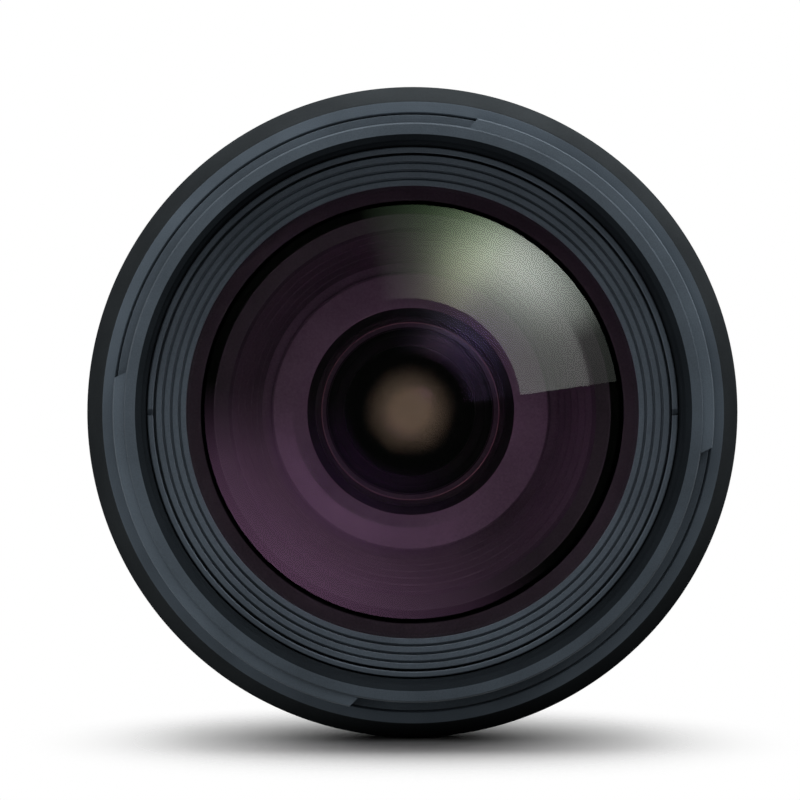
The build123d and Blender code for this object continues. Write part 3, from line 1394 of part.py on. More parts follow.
# Mount flange with its bayonet lugs
spigot_r = THROAT_R + SPIGOT_WALL
screw_head = MOUNT_SCREW_HEAD_R - MOUNT_SCREW_R
mount_screw_places = [facing_rear(MOUNT_SCREW_CIRCLE_R, a, 0) for a in mount_screw_angles]
with BuildPart() as mount_flange:
    turned(
        (THROAT_R, -SPIGOT_LENGTH),
        (spigot_r - EDGE, -SPIGOT_LENGTH),
        (spigot_r, -SPIGOT_LENGTH + EDGE),
        (spigot_r, 0),
        (FLANGE_R, 0),
        (FLANGE_R, FLANGE),
        (THROAT_R, FLANGE),
    )
    for angle in LUG_ANGLES:
        segment(
            spigot_r - BITE,
            spigot_r + LUG_REACH,
            -LUG_GAP - LUG_THICKNESS,
            -LUG_GAP,
            angle,
            LUG_SPAN,
        )
    with Locations(facing_rear((spigot_r + FLANGE_R) / 2, LOCK_SLOT_ANGLE, 0)):
        Cylinder(LOCK_SLOT_R, 2 * FLANGE, mode=Mode.SUBTRACT)
    with Locations(*mount_screw_places):
        countersunk(MOUNT_SCREW_R, MOUNT_SCREW_HEAD_R, screw_head, MOUNT_SCREW_LENGTH, Mode.SUBTRACT)
save(mount_flange, "mount_flange")

with BuildPart() as mount_screws:
    with Locations(*mount_screw_places):
        countersunk(MOUNT_SCREW_R, MOUNT_SCREW_HEAD_R, screw_head, MOUNT_SCREW_LENGTH)
        cross_recess(MOUNT_SCREW_CROSS, MOUNT_SCREW_RECESS)
save(mount_screws, "mount_screws")

# Light baffle and electric contacts in the throat
throat_plate_f = -THROAT_PLATE_DEPTH
throat_plate_rear_f = throat_plate_f - THROAT_PLATE
with BuildPart() as rear_baffle:
    ring(0, THROAT_R, throat_plate_rear_f, throat_plate_f)
    with BuildSketch(across(throat_plate_rear_f)):
        RectangleRounded(*THROAT_OPENING, THROAT_OPENING_CORNER)
    extrude(amount=THROAT_PLATE, mode=Mode.SUBTRACT)
save(rear_baffle, "rear_baffle")

block_rear_f = throat_plate_rear_f - CONTACT_BLOCK_LENGTH
first_contact_angle = CONTACT_ANGLE - CONTACT_STEP * (CONTACTS - 1) / 2
contact_angles = [first_contact_angle + k * CONTACT_STEP for k in range(CONTACTS)]
with BuildPart() as contact_block:
    segment(
        THROAT_R - CONTACT_BLOCK_WIDTH,
        THROAT_R,
        block_rear_f,
        throat_plate_rear_f,
        CONTACT_ANGLE,
        CONTACT_BLOCK_SPAN,
    )
    with Locations(*[facing_rear(CONTACT_CIRCLE_R, a, block_rear_f) for a in contact_angles]):
        Cylinder(CONTACT_R, CONTACT_BLOCK_LENGTH, mode=Mode.SUBTRACT)
save(contact_block, "contact_block")

with BuildPart() as contact_pins:
    pin_foot_f = block_rear_f + CONTACT_BLOCK_LENGTH / 2
    with Locations(*[facing_rear(CONTACT_CIRCLE_R, a, pin_foot_f) for a in contact_angles]):
        Cylinder(CONTACT_R, CONTACT_BLOCK_LENGTH / 2 + CONTACT_RISE, align=UP)
save(contact_pins, "contact_pins")

# Control board round the main tube, with its chips
board_rear_f = tube_flange_f
board_front_f = board_rear_f + BOARD_THICKNESS
board_middle_r = (tube_r + tube_flange_r) / 2
with BuildPart() as main_board:
    segment(tube_r + AIR, tube_flange_r, board_rear_f, board_front_f, BOARD_ANGLE, BOARD_SPAN)
    for k, size in enumerate(CHIP_SIZES):
        angle = BOARD_ANGLE + (k - (len(CHIP_SIZES) - 1) / 2) * CHIP_SPACING
        with Locations(facing_front(board_middle_r, angle, board_front_f)):
            Box(size[1], size[0], size[2], align=UP)
save(main_board, "main_board")

# Focus mode switch: a plate with a slot, and a knob that slides in it
with BuildPart() as switch_plate:
    with BuildSketch(switch_plane.offset(plate_x)):
        RectangleRounded(SWITCH_PLATE[0], SWITCH_PLATE[1], SWITCH_PLATE_CORNER)
        SlotOverall(
            SWITCH_KNOB[1] + SWITCH_TRAVEL + 4 * RUNNING,
            SWITCH_KNOB[0] + 2 * RUNNING,
            rotation=90,
            mode=Mode.SUBTRACT,
        )
    extrude(amount=SWITCH_PLATE[2])
save(switch_plate, "switch_plate")

with BuildPart() as focus_mode_switch:
    with BuildSketch(switch_plane.offset(base_x + RUNNING / 2)):
        with Locations((0, SWITCH_TRAVEL / 2)):
            Rectangle(SWITCH_BASE[0], SWITCH_BASE[1])
    extrude(amount=SWITCH_BASE[2])
    with BuildSketch(switch_plane.offset(base_x + RUNNING)):
        with Locations((0, SWITCH_TRAVEL / 2)):
            SlotOverall(SWITCH_KNOB[1], SWITCH_KNOB[0], rotation=90)
    extrude(amount=SWITCH_BASE[2] + SWITCH_PLATE[2] + SWITCH_KNOB[2])
save(focus_mode_switch, "focus_mode_switch")

print("length from flange to rim", round(rim_f, 2), "largest radius", round(lens_r, 2))
print("blades turn", round(blade_turn, 2), "degrees for", aperture_turn, "degrees of the ring")
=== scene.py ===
import json
import math

import bmesh
import bpy
import numpy as np
from bpy.props import FloatProperty, FloatVectorProperty, IntProperty, PointerProperty
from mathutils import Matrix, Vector

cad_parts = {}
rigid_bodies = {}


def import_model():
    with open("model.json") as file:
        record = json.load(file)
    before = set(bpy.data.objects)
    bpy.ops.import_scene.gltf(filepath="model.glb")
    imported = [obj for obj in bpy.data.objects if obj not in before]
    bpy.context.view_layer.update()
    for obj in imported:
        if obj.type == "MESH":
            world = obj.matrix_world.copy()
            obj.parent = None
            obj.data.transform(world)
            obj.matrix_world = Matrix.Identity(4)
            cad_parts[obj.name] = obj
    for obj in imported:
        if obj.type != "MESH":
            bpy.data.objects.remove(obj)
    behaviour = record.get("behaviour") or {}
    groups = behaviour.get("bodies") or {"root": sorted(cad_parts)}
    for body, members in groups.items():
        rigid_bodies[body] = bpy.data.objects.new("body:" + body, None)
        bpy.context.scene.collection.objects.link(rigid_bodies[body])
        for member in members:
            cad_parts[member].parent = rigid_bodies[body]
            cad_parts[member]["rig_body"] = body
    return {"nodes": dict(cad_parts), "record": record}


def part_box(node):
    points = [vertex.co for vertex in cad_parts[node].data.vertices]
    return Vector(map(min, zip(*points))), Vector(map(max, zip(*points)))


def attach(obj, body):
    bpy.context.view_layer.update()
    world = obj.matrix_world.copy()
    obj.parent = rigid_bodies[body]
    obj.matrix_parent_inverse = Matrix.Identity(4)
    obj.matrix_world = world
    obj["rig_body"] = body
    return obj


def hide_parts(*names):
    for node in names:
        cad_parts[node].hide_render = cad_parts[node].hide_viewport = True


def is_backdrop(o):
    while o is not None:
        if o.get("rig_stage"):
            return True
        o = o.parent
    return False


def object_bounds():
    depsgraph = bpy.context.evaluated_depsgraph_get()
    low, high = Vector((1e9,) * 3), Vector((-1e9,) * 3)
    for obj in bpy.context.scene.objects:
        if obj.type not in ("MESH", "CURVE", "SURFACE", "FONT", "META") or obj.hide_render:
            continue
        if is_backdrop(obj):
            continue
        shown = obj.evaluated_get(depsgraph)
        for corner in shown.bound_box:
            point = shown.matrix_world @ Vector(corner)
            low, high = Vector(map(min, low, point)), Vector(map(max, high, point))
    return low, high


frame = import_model()

bl_info = {
    "name": "Wide Angle Lens",
    "version": (1, 0, 0),
    "blender": (4, 5, 0),
    "location": "3D View > Sidebar > Lens",
    "description": "Turned rings, coated glass, grips, marks and mount of a wide-angle lens",
    "category": "Object",
}

MM = 0.001
cad = frame["nodes"]
CAD_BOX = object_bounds()
RIM_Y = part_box("filter_ring")[0].y
FLOOR_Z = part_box("focus_grip")[0].z - 0.05 * MM
SLOTS = {piece["node"]: piece["material_slot"] for piece in frame["record"]["subparts"]}

# A point this near the axis lies on it, and an outline that turns further than this has a corner.
# A round takes at most this share of the lines at its corner, and leaves opposite normals as
# they are.
ON_AXIS = 1e-7
CORNER = math.radians(13)
ROUND_SHARE = 0.35
OPPOSITE = 3.1

# Angles in degrees, from +X towards +Z, at which a section meets no slot, screw, lug or notch
SECTION = 45.3
SECTIONS = {
    "front_sleeve": 35.3,
    "filter_ring": 130.3,
    "aperture_ring": 4.9,
    "distance_scale": 10.3,
    "outer_barrel": 200.3,
    "rear_cell": 10.3,
    "rear_sleeve": 10.3,
}
GLASS_SECTION = 20.3

# Angles at which a section runs through a hood lug, and through a rib of the focus grip
LUG_SECTION = 215.7
RIB_SECTION = 0.05

# The top of the lens and how far the ends of a hood lug lean, in degrees, and how far paint
# stands out
TOP = 90.0
LUG_SLANT = 1.6
PROUD = 0.03 * MM

# How deep the lines of the turning tool are, in millimetres, and the refractive index of the glass
LATHE_DEPTH = 0.0012
INDEX = 1.517

# Places on the stage, in metres: where the camera stands and aims off the lens axis at (x, z),
# and how far the mirrored panels and the dark dome are from the front rim
STAND = (-10 * MM, 4.5 * MM)
AIM = (-1.78 * MM, 1.65 * MM)
PANEL_AWAY = 0.6
DOME_AWAY = 1.2

# The figures of the aperture ring with their step, and those of the distance scale with their
# turns and the step of its ticks, all in degrees
STOPS = ("2.8", "4", "5.6", "8", "11", "16", "22")
STOP_STEP = 7.0
TICK_STEP = 12.6
DISTANCES = (
    ("8", 0.0),
    ("3", 13.0),
    ("1.5", 26.0),
    ("1", 38.0),
    ("0.7", 50.0),
    ("0.5", 62.0),
    ("0.4", 75.0),
    ("0.3", 88.0),
)


# Profiles read from the CAD pieces


def crossing(first, second, side):
    """Where an edge meets the cutting plane, the same from either end."""
    a, b = sorted((first, second), key=lambda end: (end[0], end[1], end[2]))
    share = np.dot(a, side) / (np.dot(a, side) - np.dot(b, side))
    return a + (b - a) * share


def profile_pieces(node, angle):
    """Short lines (radius, y) where the half plane at an angle cuts a CAD piece."""
    mesh = cad[node].data
    mesh.calc_loop_triangles()
    points = np.array([v.co for v in mesh.vertices], float)
    out = np.array((math.cos(angle), 0.0, math.sin(angle)))
    side = np.array((-math.sin(angle), 0.0, math.cos(angle)))
    height = points @ side
    for triangle in mesh.loop_triangles:
        a, b, c = triangle.vertices
        ends = []
        for start, end in ((a, b), (b, c), (c, a)):
            if (height[start] > 0) != (height[end] > 0):
                at = crossing(points[start], points[end], side)
                ends.append((float(np.dot(at, out)), float(at[1])))
        if len(ends) == 2:
            (r0, y0), (r1, y1) = ends
            if r0 < 0 and r1 < 0:
                continue
            if min(r0, r1) < 0:
                middle = (0.0, y0 + (y1 - y0) * r0 / (r0 - r1))
                ends = [middle, (r1, y1)] if r0 < 0 else [(r0, y0), middle]
            yield tuple(ends)


def profile(node, degrees=None):
    """The longest outline (radius, y) of a CAD piece's section, at its plain angle or another."""
    if degrees is None:
        degrees = SECTIONS.get(node, SECTION)
    links = {}
    for a, b in profile_pieces(node, math.radians(degrees)):
        if a != b:
            links.setdefault(a, []).append(b)
            links.setdefault(b, []).append(a)
    runs = []
    while links:
        ends = [p for p, near in links.items() if len(near) == 1]
        at = ends[0] if ends else next(iter(links))
        run = [at]
        while links.get(at):
            after = links[at].pop()
            links[after].remove(at)
            if not links[at]:
                del links[at]
            at = after
            run.append(at)
        links.pop(at, None)
        links = {p: near for p, near in links.items() if near}
        runs.append(run)
    run = max(runs, key=lambda r: sum(math.dist(a, b) for a, b in zip(r, r[1:])))
    if run[0] == run[-1]:
        run.pop()
    return [Vector(p) for p in plain(run, closed=run[0][0] > ON_AXIS)]


def plain(points, closed, slack=2e-6):
    """An outline without the points that lie on a straight line."""
    points = list(points)
    changed = True
    while changed:
        changed = False
        count = len(points)
        for i in range(count):
            if not closed and i in (0, count - 1):
                continue
            before = Vector(points[i - 1])
            here = Vector(points[i])
            after = Vector(points[(i + 1) % count])
            along = after - before
            if along.length < 1e-9 or abs(along.cross(here - before)) / along.length < slack:
                del points[i]
                changed = True
                break
    return points


def bend(before, here, after):
    """How far an outline turns at a point, in radians."""
    return (here - before).angle_signed(after - here, 0.0)


def softened(points, closed, edge):
    """Points and normals of an outline with each corner rounded and each arc drawn fine.
    Small bends in a row are one arc, and a large bend is a corner."""
    count = len(points)
    turns = []
    for i in range(count):
        if not closed and i in (0, count - 1):
            turns.append(0.0)
        else:
            turns.append(bend(points[i - 1], points[i], points[(i + 1) % count]))
    corner = [abs(t) > CORNER for t in turns]
    if not closed:
        corner[0] = corner[-1] = True
    start = corner.index(True) if any(corner) else 0
    order = [(start + i) % count for i in range(count)]
    if closed:
        order.append(start)
    paths = []
    begin = 0
    for i in range(1, len(order)):
        if corner[order[i]]:
            stretch = [points[j] for j in order[begin : i + 1]]
            paths.append(arc_path(stretch) if len(stretch) > 3 else straight_path(stretch))
            begin = i
    return joined(paths, closed, edge)


def straight_path(stretch):
    """Points with normals along straight lines."""
    path = []
    for a, b in zip(stretch, stretch[1:]):
        along = (b - a).normalized()
        normal = Vector((along.y, -along.x))
        path.append((a, normal))
        path.append((b, normal))
    return path


def arc_path(stretch):
    """Points with normals on the circle through a stretch's ends and middle, about one for each
    millimetre. A stretch that leaves that circle is taken as straight lines."""
    a = stretch[0]
    b = stretch[len(stretch) // 2]
    c = stretch[-1]
    d = 2 * (a.x * (b.y - c.y) + b.x * (c.y - a.y) + c.x * (a.y - b.y))
    if abs(d) < 1e-14:
        return straight_path([a, c])
    aa, bb, cc = (p.length_squared for p in (a, b, c))
    x = aa * (b.y - c.y) + bb * (c.y - a.y) + cc * (a.y - b.y)
    y = aa * (c.x - b.x) + bb * (a.x - c.x) + cc * (b.x - a.x)
    centre = Vector((x / d, y / d))
    radius = (a - centre).length
    if max(abs((p - centre).length - radius) for p in stretch) > 0.03 * MM:
        return straight_path(stretch)
    first = math.atan2(a.y - centre.y, a.x - centre.x)
    sweep = (a - centre).angle_signed(c - centre, 0.0)
    halfway = (a - centre).angle_signed(b - centre, 0.0)
    if sweep * halfway < 0:
        sweep -= math.copysign(2 * math.pi, sweep)
    path = []
    count = min(28, max(6, int(abs(sweep) * radius / MM)))
    for k in range(count + 1):
        at = first - sweep * k / count
        out = Vector((math.cos(at), math.sin(at)))
        normal = out if sweep < 0 else -out
        path.append((centre + out * radius, normal))
    return path


def trimmed(path, length):
    """A path cut back by a length at its start."""
    path = list(path)
    while len(path) > 1:
        (a, na), (b, nb) = path[0], path[1]
        step = (b - a).length
        if step > length:
            share = length / step if step else 0.0
            path[0] = (a.lerp(b, share), na.lerp(nb, share).normalized())
            return path
        length -= step
        path.pop(0)
    return path


def joined(paths, closed, edge):
    """Paths joined end to end, with a small round at each corner between them."""
    lengths = [sum((b[0] - a[0]).length for a, b in zip(p, p[1:])) for p in paths]
    cut = []
    for i, path in enumerate(paths):
        before = lengths[i - 1] if closed or i else 0.0
        after = lengths[(i + 1) % len(paths)] if closed or i < len(paths) - 1 else 0.0
        head = min(edge, ROUND_SHARE * lengths[i], ROUND_SHARE * before)
        tail = min(edge, ROUND_SHARE * lengths[i], ROUND_SHARE * after)
        path = trimmed(path, head)
        cut.append(trimmed(path[::-1], tail)[::-1])
    out = []
    for i, path in enumerate(cut):
        out.extend(path)
        if not closed and i == len(cut) - 1:
            break
        a, na = path[-1]
        b, nb = cut[(i + 1) % len(cut)][0]
        corner = paths[i][-1][0]
        for k in (1, 2, 3):
            t = k / 4
            at = a.lerp(corner, t).lerp(corner.lerp(b, t), t)
            out.append((at, na.slerp(nb, t) if na.angle(nb) < OPPOSITE else na))
    slim = [out[0]]
    for at, normal in out[1:]:
        if (at - slim[-1][0]).length > 1e-8:
            slim.append((at, normal))
    if closed and (slim[0][0] - slim[-1][0]).length < 1e-8:
        slim.pop()
    return slim


# Meshes


def placed(name, data):
    """A new object in the scene."""
    item = bpy.data.objects.new(name, data)
    bpy.context.scene.collection.objects.link(item)
    return item


def new_piece(name, mesh, body, slot, stands_for=()):
    """Put a mesh in the scene as a piece that rides on a body."""
    piece = placed(name, mesh)
    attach(piece, body)
    if stands_for:
        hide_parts(*stands_for)
    return piece


def add_piece(name, mesh, body, slot, look):
    """Put a mesh in the scene as a new piece with one finish."""
    give(new_piece(name, mesh, body, slot), look)


def mesh_of(bm, name, sharp):
    """The mesh of a bmesh, smooth up to an angle in degrees."""
    mesh = bpy.data.meshes.new(name)
    bm.to_mesh(mesh)
    bm.free()
    mesh.shade_smooth()
    mesh.set_sharp_from_angle(angle=math.radians(sharp))
    return mesh


def lathe(name, path, closed, slot_of):
    """Turn a path of points and normals about the lens axis into a mesh.
    The slot of each band comes from its two points and its outward normal."""
    if max(path, key=lambda p: p[0].x)[1].x < 0:
        path = [(at, -normal) for at, normal in path]
    segments = settings().segments
    angles = [2 * math.pi * k / segments for k in range(segments)]
    verts, normals, rows = [], [], []
    for at, normal in path:
        if at.x < ON_AXIS:
            rows.append([len(verts)] * segments)
            verts.append((0.0, at.y, 0.0))
            normals.append((0.0, math.copysign(1.0, normal.y), 0.0))
            continue
        rows.append(list(range(len(verts), len(verts) + segments)))
        for a in angles:
            c, s = math.cos(a), math.sin(a)
            verts.append((at.x * c, at.y, at.x * s))
            normals.append((normal.x * c, normal.y, normal.x * s))
    faces, slots = [], []
    pairs = len(path) if closed else len(path) - 1
    for i in range(pairs):
        low, high = rows[i], rows[(i + 1) % len(path)]
        (a, out), (b, _) = path[i], path[(i + 1) % len(path)]
        slot = slot_of(a, b, out) if slot_of else 0
        for k in range(segments):
            n = (k + 1) % segments
            corners = [low[k], low[n], high[n], high[k]]
            face = [v for j, v in enumerate(corners) if v != corners[j - 1]]
            if len(face) > 2:
                faces.append(face)
                slots.append(slot)
    mesh = bpy.data.meshes.new(name)
    mesh.from_pydata(verts, [], faces)
    if volume(mesh) < 0:
        mesh.flip_normals()
    mesh.polygons.foreach_set("material_index", slots)
    mesh.shade_smooth()
    mesh.normals_split_custom_set_from_vertices(normals)
    mesh.update()
    return mesh


def volume(mesh):
    """Signed volume: below zero when the faces point inwards."""
    total = 0.0
    verts = [v.co for v in mesh.vertices]
    for face in mesh.polygons:
        ids = face.vertices
        for k in range(1, len(ids) - 1):
            total += verts[ids[0]].dot(verts[ids[k]].cross(verts[ids[k + 1]]))
    return total / 6


def turned(node, edge, word="turned", degrees=None, slot_of=None):
    """A finely turned copy of a round CAD piece, its name ending with a word."""
    points = profile(node, degrees)
    closed = points[0].x > ON_AXIS
    return lathe(f"{node}_{word}", softened(points, closed, edge * MM), closed, slot_of)


def merged(node, word, sharp=25.0, edge=0.0):
    """A smooth-shaded copy of a CAD piece with its loose triangles merged."""
    bm = bmesh.new()
    bm.from_mesh(cad[node].data)
    bmesh.ops.remove_doubles(bm, verts=bm.verts, dist=2e-6)
    bmesh.ops.dissolve_limit(
        bm, angle_limit=math.radians(0.4), verts=bm.verts, edges=bm.edges, delimit={"NORMAL"}
    )
    if edge:
        sharp_edges = [
            e for e in bm.edges if len(e.link_faces) == 2 and e.calc_face_angle(0) > math.radians(sharp)
        ]
        bmesh.ops.bevel(
            bm,
            geom=sharp_edges,
            offset=edge * MM,
            segments=2,
            profile=0.5,
            affect="EDGES",
            clamp_overlap=True,
        )
    return weighted(mesh_of(bm, f"{node}_{word}", sharp))


def made_real(carrier):
    """The plain mesh of an object with its modifiers, and the object removed."""
    graph = bpy.context.evaluated_depsgraph_get()
    mesh = bpy.data.meshes.new_from_object(carrier.evaluated_get(graph), depsgraph=graph)
    name, source = carrier.name, carrier.data
    bpy.data.objects.remove(carrier)
    if isinstance(source, bpy.types.Mesh):
        bpy.data.meshes.remove(source)
    mesh.name = name
    return mesh


def weighted(mesh):
    """The mesh with normals that keep its broad faces flat."""
    carrier = placed(mesh.name, mesh)
    even = carrier.modifiers.new("even", "WEIGHTED_NORMAL")
    even.keep_sharp = True
    return made_real(carrier)


def around_tree():
    """Geometry Nodes that set copies of a mesh round the lens axis."""
    tree = bpy.data.node_groups.new("round the axis", "GeometryNodeTree")
    face = tree.interface
    for name, kind in (
        ("Piece", "NodeSocketGeometry"),
        ("Count", "NodeSocketInt"),
        ("First angle", "NodeSocketFloat"),
        ("Step", "NodeSocketFloat"),
        ("Finish", "NodeSocketMaterial"),
    ):
        face.new_socket(name=name, in_out="INPUT", socket_type=kind)
    face.new_socket(name="Pieces", in_out="OUTPUT", socket_type="NodeSocketGeometry")
    kinds = {
        "given": "NodeGroupInput",
        "points": "GeometryNodePoints",
        "index": "GeometryNodeInputIndex",
        "turn": "ShaderNodeMath",
        "vector": "ShaderNodeCombineXYZ",
        "rotation": "FunctionNodeEulerToRotation",
        "copies": "GeometryNodeInstanceOnPoints",
        "real": "GeometryNodeRealizeInstances",
        "finish": "GeometryNodeSetMaterial",
        "result": "NodeGroupOutput",
    }
    node = {name: tree.nodes.new(kind) for name, kind in kinds.items()}
    node["turn"].operation = "MULTIPLY_ADD"
    for start, output, end, entry in (
        ("given", "Count", "points", "Count"),
        ("index", 0, "turn", 0),
        ("given", "Step", "turn", 1),
        ("given", "First angle", "turn", 2),
        ("turn", 0, "vector", "Y"),
        ("vector", 0, "rotation", 0),
        ("points", 0, "copies", "Points"),
        ("given", "Piece", "copies", "Instance"),
        ("rotation", 0, "copies", "Rotation"),
        ("copies", 0, "real", 0),
        ("real", 0, "finish", "Geometry"),
        ("given", "Finish", "finish", "Material"),
        ("finish", 0, "result", 0),
    ):
        tree.links.new(node[start].outputs[output], node[end].inputs[entry])
    return tree


def around(name, mesh, count, first, step, look):
    """Copies of a mesh on the +X side, set round the axis from an angle in degrees by a step.
    Angles run from +X towards +Z, which is against a turn about +Y."""
    tree = bpy.data.node_groups.get("round the axis") or around_tree()
    carrier = placed(name, mesh)
    nodes = carrier.modifiers.new("round the axis", "NODES")
    nodes.node_group = tree
    values = {
        "Count": count,
        "First angle": -math.radians(first),
        "Step": -math.radians(step),
        "Finish": finish(look),
    }
    for socket in tree.interface.items_tree:
        if socket.in_out == "INPUT" and socket.name in values:
            nodes[socket.identifier] = values[socket.name]
    return made_real(carrier)


def sector(name, path, start, end, steps=96):
    """A closed path of points and normals swept part of the way round the axis.
    Its ends lean, from the inner to the outer radius."""
    low = min(at.x for at, _ in path)
    wide = max(at.x for at, _ in path) - low
    bm = bmesh.new()
    rows = []
    for k in range(steps + 1):
        share = k / steps
        row = []
        for at, _ in path:
            lean = LUG_SLANT * (at.x - low) / wide
            a = math.radians((start + lean) * (1 - share) + (end - lean) * share)
            row.append(bm.verts.new((at.x * math.cos(a), at.y, at.x * math.sin(a))))
        rows.append(row)
    for before, after in zip(rows, rows[1:]):
        for i in range(len(path)):
            j = (i + 1) % len(path)
            bm.faces.new((before[i], before[j], after[j], after[i]))
    bm.faces.new(rows[0])
    bm.faces.new(rows[-1][::-1])
    bmesh.ops.recalc_face_normals(bm, faces=bm.faces)
    return weighted(mesh_of(bm, name, 40.0))


def block(low, high, edge=0.0, steps=2):
    """A bar between two corners, bevelled where an edge is given."""
    bm = bmesh.new()
    bmesh.ops.create_cube(bm, size=1.0)
    for v in bm.verts:
        v.co = Vector((low[i] + (v.co[i] + 0.5) * (high[i] - low[i]) for i in range(3)))
    if edge:
        bmesh.ops.bevel(bm, geom=bm.edges, offset=edge, segments=steps, profile=0.6, affect="EDGES")
    return mesh_of(bm, "block", 50.0)


def bead(place_x, place_y, wide, high):
    """A low round bead on the +X side, to be set round the axis."""
    bm = bmesh.new()
    bmesh.ops.create_uvsphere(bm, u_segments=28, v_segments=16, radius=wide)
    for v in bm.verts:
        v.co = Vector((place_x + v.co.x * high / wide, place_y + v.co.y, v.co.z))
    return mesh_of(bm, "bead", 180.0)


def lettering(words, size, radius, place_y, angle, quarter=False):
    """Flat figures wrapped round the axis, upright when read from behind the lens, or lying down
    with a quarter turn."""
    curve = bpy.data.curves.new("figures", "FONT")
    curve.body = words
    curve.size = size * MM
    curve.align_x = "CENTER"
    curve.align_y = "CENTER"
    curve.resolution_u = 6
    mesh = made_real(placed("figures", curve))
    for v in mesh.vertices:
        u, w = (v.co.y, -v.co.x) if quarter else (v.co.x, v.co.y)
        a = math.radians(angle) + u / radius
        v.co = Vector((radius * math.cos(a), place_y - w, radius * math.sin(a)))
    return mesh


def united(name, meshes):
    """Several meshes as one."""
    bm = bmesh.new()
    for mesh in meshes:
        bm.from_mesh(mesh)
    mesh = bpy.data.meshes.new(name)
    bm.to_mesh(mesh)
    bm.free()
    return mesh


# Materials


class Finish:
    """One procedural material, built step by step on its node tree."""

    def __init__(self, name):
        self.material = bpy.data.materials.new(name)
        self.material.use_nodes = True
        self.tree = self.material.node_tree
        self.shader = self.tree.nodes["Principled BSDF"]
        self.place = self.add("ShaderNodeTexCoord").outputs["Object"]

    def add(self, kind, **sockets):
        """Add a node, set its plain inputs and link its linked ones."""
        return self.fill(self.tree.nodes.new(kind), **sockets)

    def fill(self, node, **sockets):
        """Set or link a node's inputs by their names."""
        for name, value in sockets.items():
            self.give(node.inputs[name.replace("_", " ")], value)
        return node

    def give(self, socket, value):
        """Set an input, or link it when the value is an output."""
        if isinstance(value, bpy.types.NodeSocket):
            self.tree.links.new(value, socket)
        else:
            socket.default_value = value

    def shine(self, **sockets):
        """Set or link the shader's own sockets."""
        self.fill(self.shader, **sockets)

    def noise(self, size, detail=2.0, rough=0.5):
        """Grain with a feature size in millimetres."""
        scale = 1 / (size * MM)
        node = self.add(
            "ShaderNodeTexNoise", Scale=scale, Detail=detail, Roughness=rough, Vector=self.place
        )
        return node.outputs["Fac"]

    def maths(self, operation, first, second=0.0):
        """One sum on values."""
        node = self.tree.nodes.new("ShaderNodeMath")
        node.operation = operation
        self.give(node.inputs[0], first)
        self.give(node.inputs[1], second)
        return node.outputs[0]

    def spread(self, value, low, high, start=0.3, end=0.7):
        """A value spread between two limits."""
        node = self.add(
            "ShaderNodeMapRange", Value=value, From_Min=start, From_Max=end, To_Min=low, To_Max=high
        )
        return node.outputs[0]

    def blend(self, share, first, second):
        """A colour between two colours."""
        node = self.tree.nodes.new("ShaderNodeMix")
        node.data_type = "RGBA"
        self.give(node.inputs[0], share)
        self.give(node.inputs[6], first)
        self.give(node.inputs[7], second)
        return node.outputs[2]

    def bump(self, height, depth, before=None):
        """Push the surface in and out by a height, with its depth in millimetres."""
        node = self.add("ShaderNodeBump", Strength=1.0, Distance=depth * MM, Height=height)
        if before:
            self.give(node.inputs["Normal"], before)
        return node.outputs["Normal"]

    def length(self, vector):
        """The length of a vector."""
        node = self.add("ShaderNodeVectorMath", Vector=vector)
        node.operation = "LENGTH"
        return node.outputs["Value"]

    def radius(self):
        """Distance from the lens axis in millimetres."""
        split = self.add("ShaderNodeSeparateXYZ", Vector=self.place)
        flat = self.add("ShaderNodeCombineXYZ", X=split.outputs[0], Z=split.outputs[2])
        return self.maths("MULTIPLY", self.length(flat.outputs[0]), 1 / MM)

    def rings(self, width):
        """Waves round the lens axis, as a turning tool leaves them, with a width in millimetres."""
        return self.maths("SINE", self.maths("MULTIPLY", self.radius(), 2 * math.pi / width))

    def let_through(self, share, color):
        """Make the surface clear, with a colour, where the share is 1."""
        clear = self.add("ShaderNodeBsdfTransparent", Color=color)
        mix = self.tree.nodes.new("ShaderNodeMixShader")
        for k, value in enumerate((share, self.shader.outputs[0], clear.outputs[0])):
            self.give(mix.inputs[k], value)
        self.give(self.tree.nodes["Material Output"].inputs["Surface"], mix.outputs[0])


def grey(level, tint=(1.0, 1.0, 1.0)):
    """A colour with alpha from a level and a tint, kept below white."""
    return (*(min(1.0, level * t) for t in tint), 1.0)


def anodised(name, color, rough=0.4, grain=0.12, depth=0.004, lathe_lines=0.0, metal=0.0, level=0.5):
    """Anodised or painted metal: fine blasted grain, cloudy colour, faint turning lines."""
    f = Finish(name)
    cloud = f.noise(9.0, 3.0)
    fine = f.noise(grain, 2.0)
    dark = grey(0.82, color[:3])
    light = grey(1.18, color[:3])
    mixed = f.maths("ADD", f.maths("MULTIPLY", cloud, 0.5), f.maths("MULTIPLY", fine, 0.5))
    f.shine(Base_Color=f.blend(f.spread(mixed, 0.0, 1.0, 0.35, 0.65), dark, light))
    f.shine(Roughness=f.spread(f.noise(2.5, 3.0), rough - 0.06, rough + 0.06))
    f.shine(Metallic=metal, Specular_IOR_Level=level)
    normal = f.bump(fine, depth)
    if lathe_lines:
        normal = f.bump(f.rings(lathe_lines), LATHE_DEPTH, normal)
    f.shine(Normal=normal)
    return f.material


def ribbed_rubber(name):
    """Matt black rubber with a fine moulded grain and pale rubbed patches."""
    f = Finish(name)
    dust = f.noise(6.0, 4.0, 0.6)
    fine = f.noise(0.18, 3.0)
    f.shine(Base_Color=f.blend(f.spread(dust, 0.0, 1.0), grey(0.009), grey(0.02)))
    f.shine(Roughness=f.spread(fine, 0.62, 0.85), Specular_IOR_Level=0.25)
    f.shine(Normal=f.bump(fine, 0.01))
    return f.material


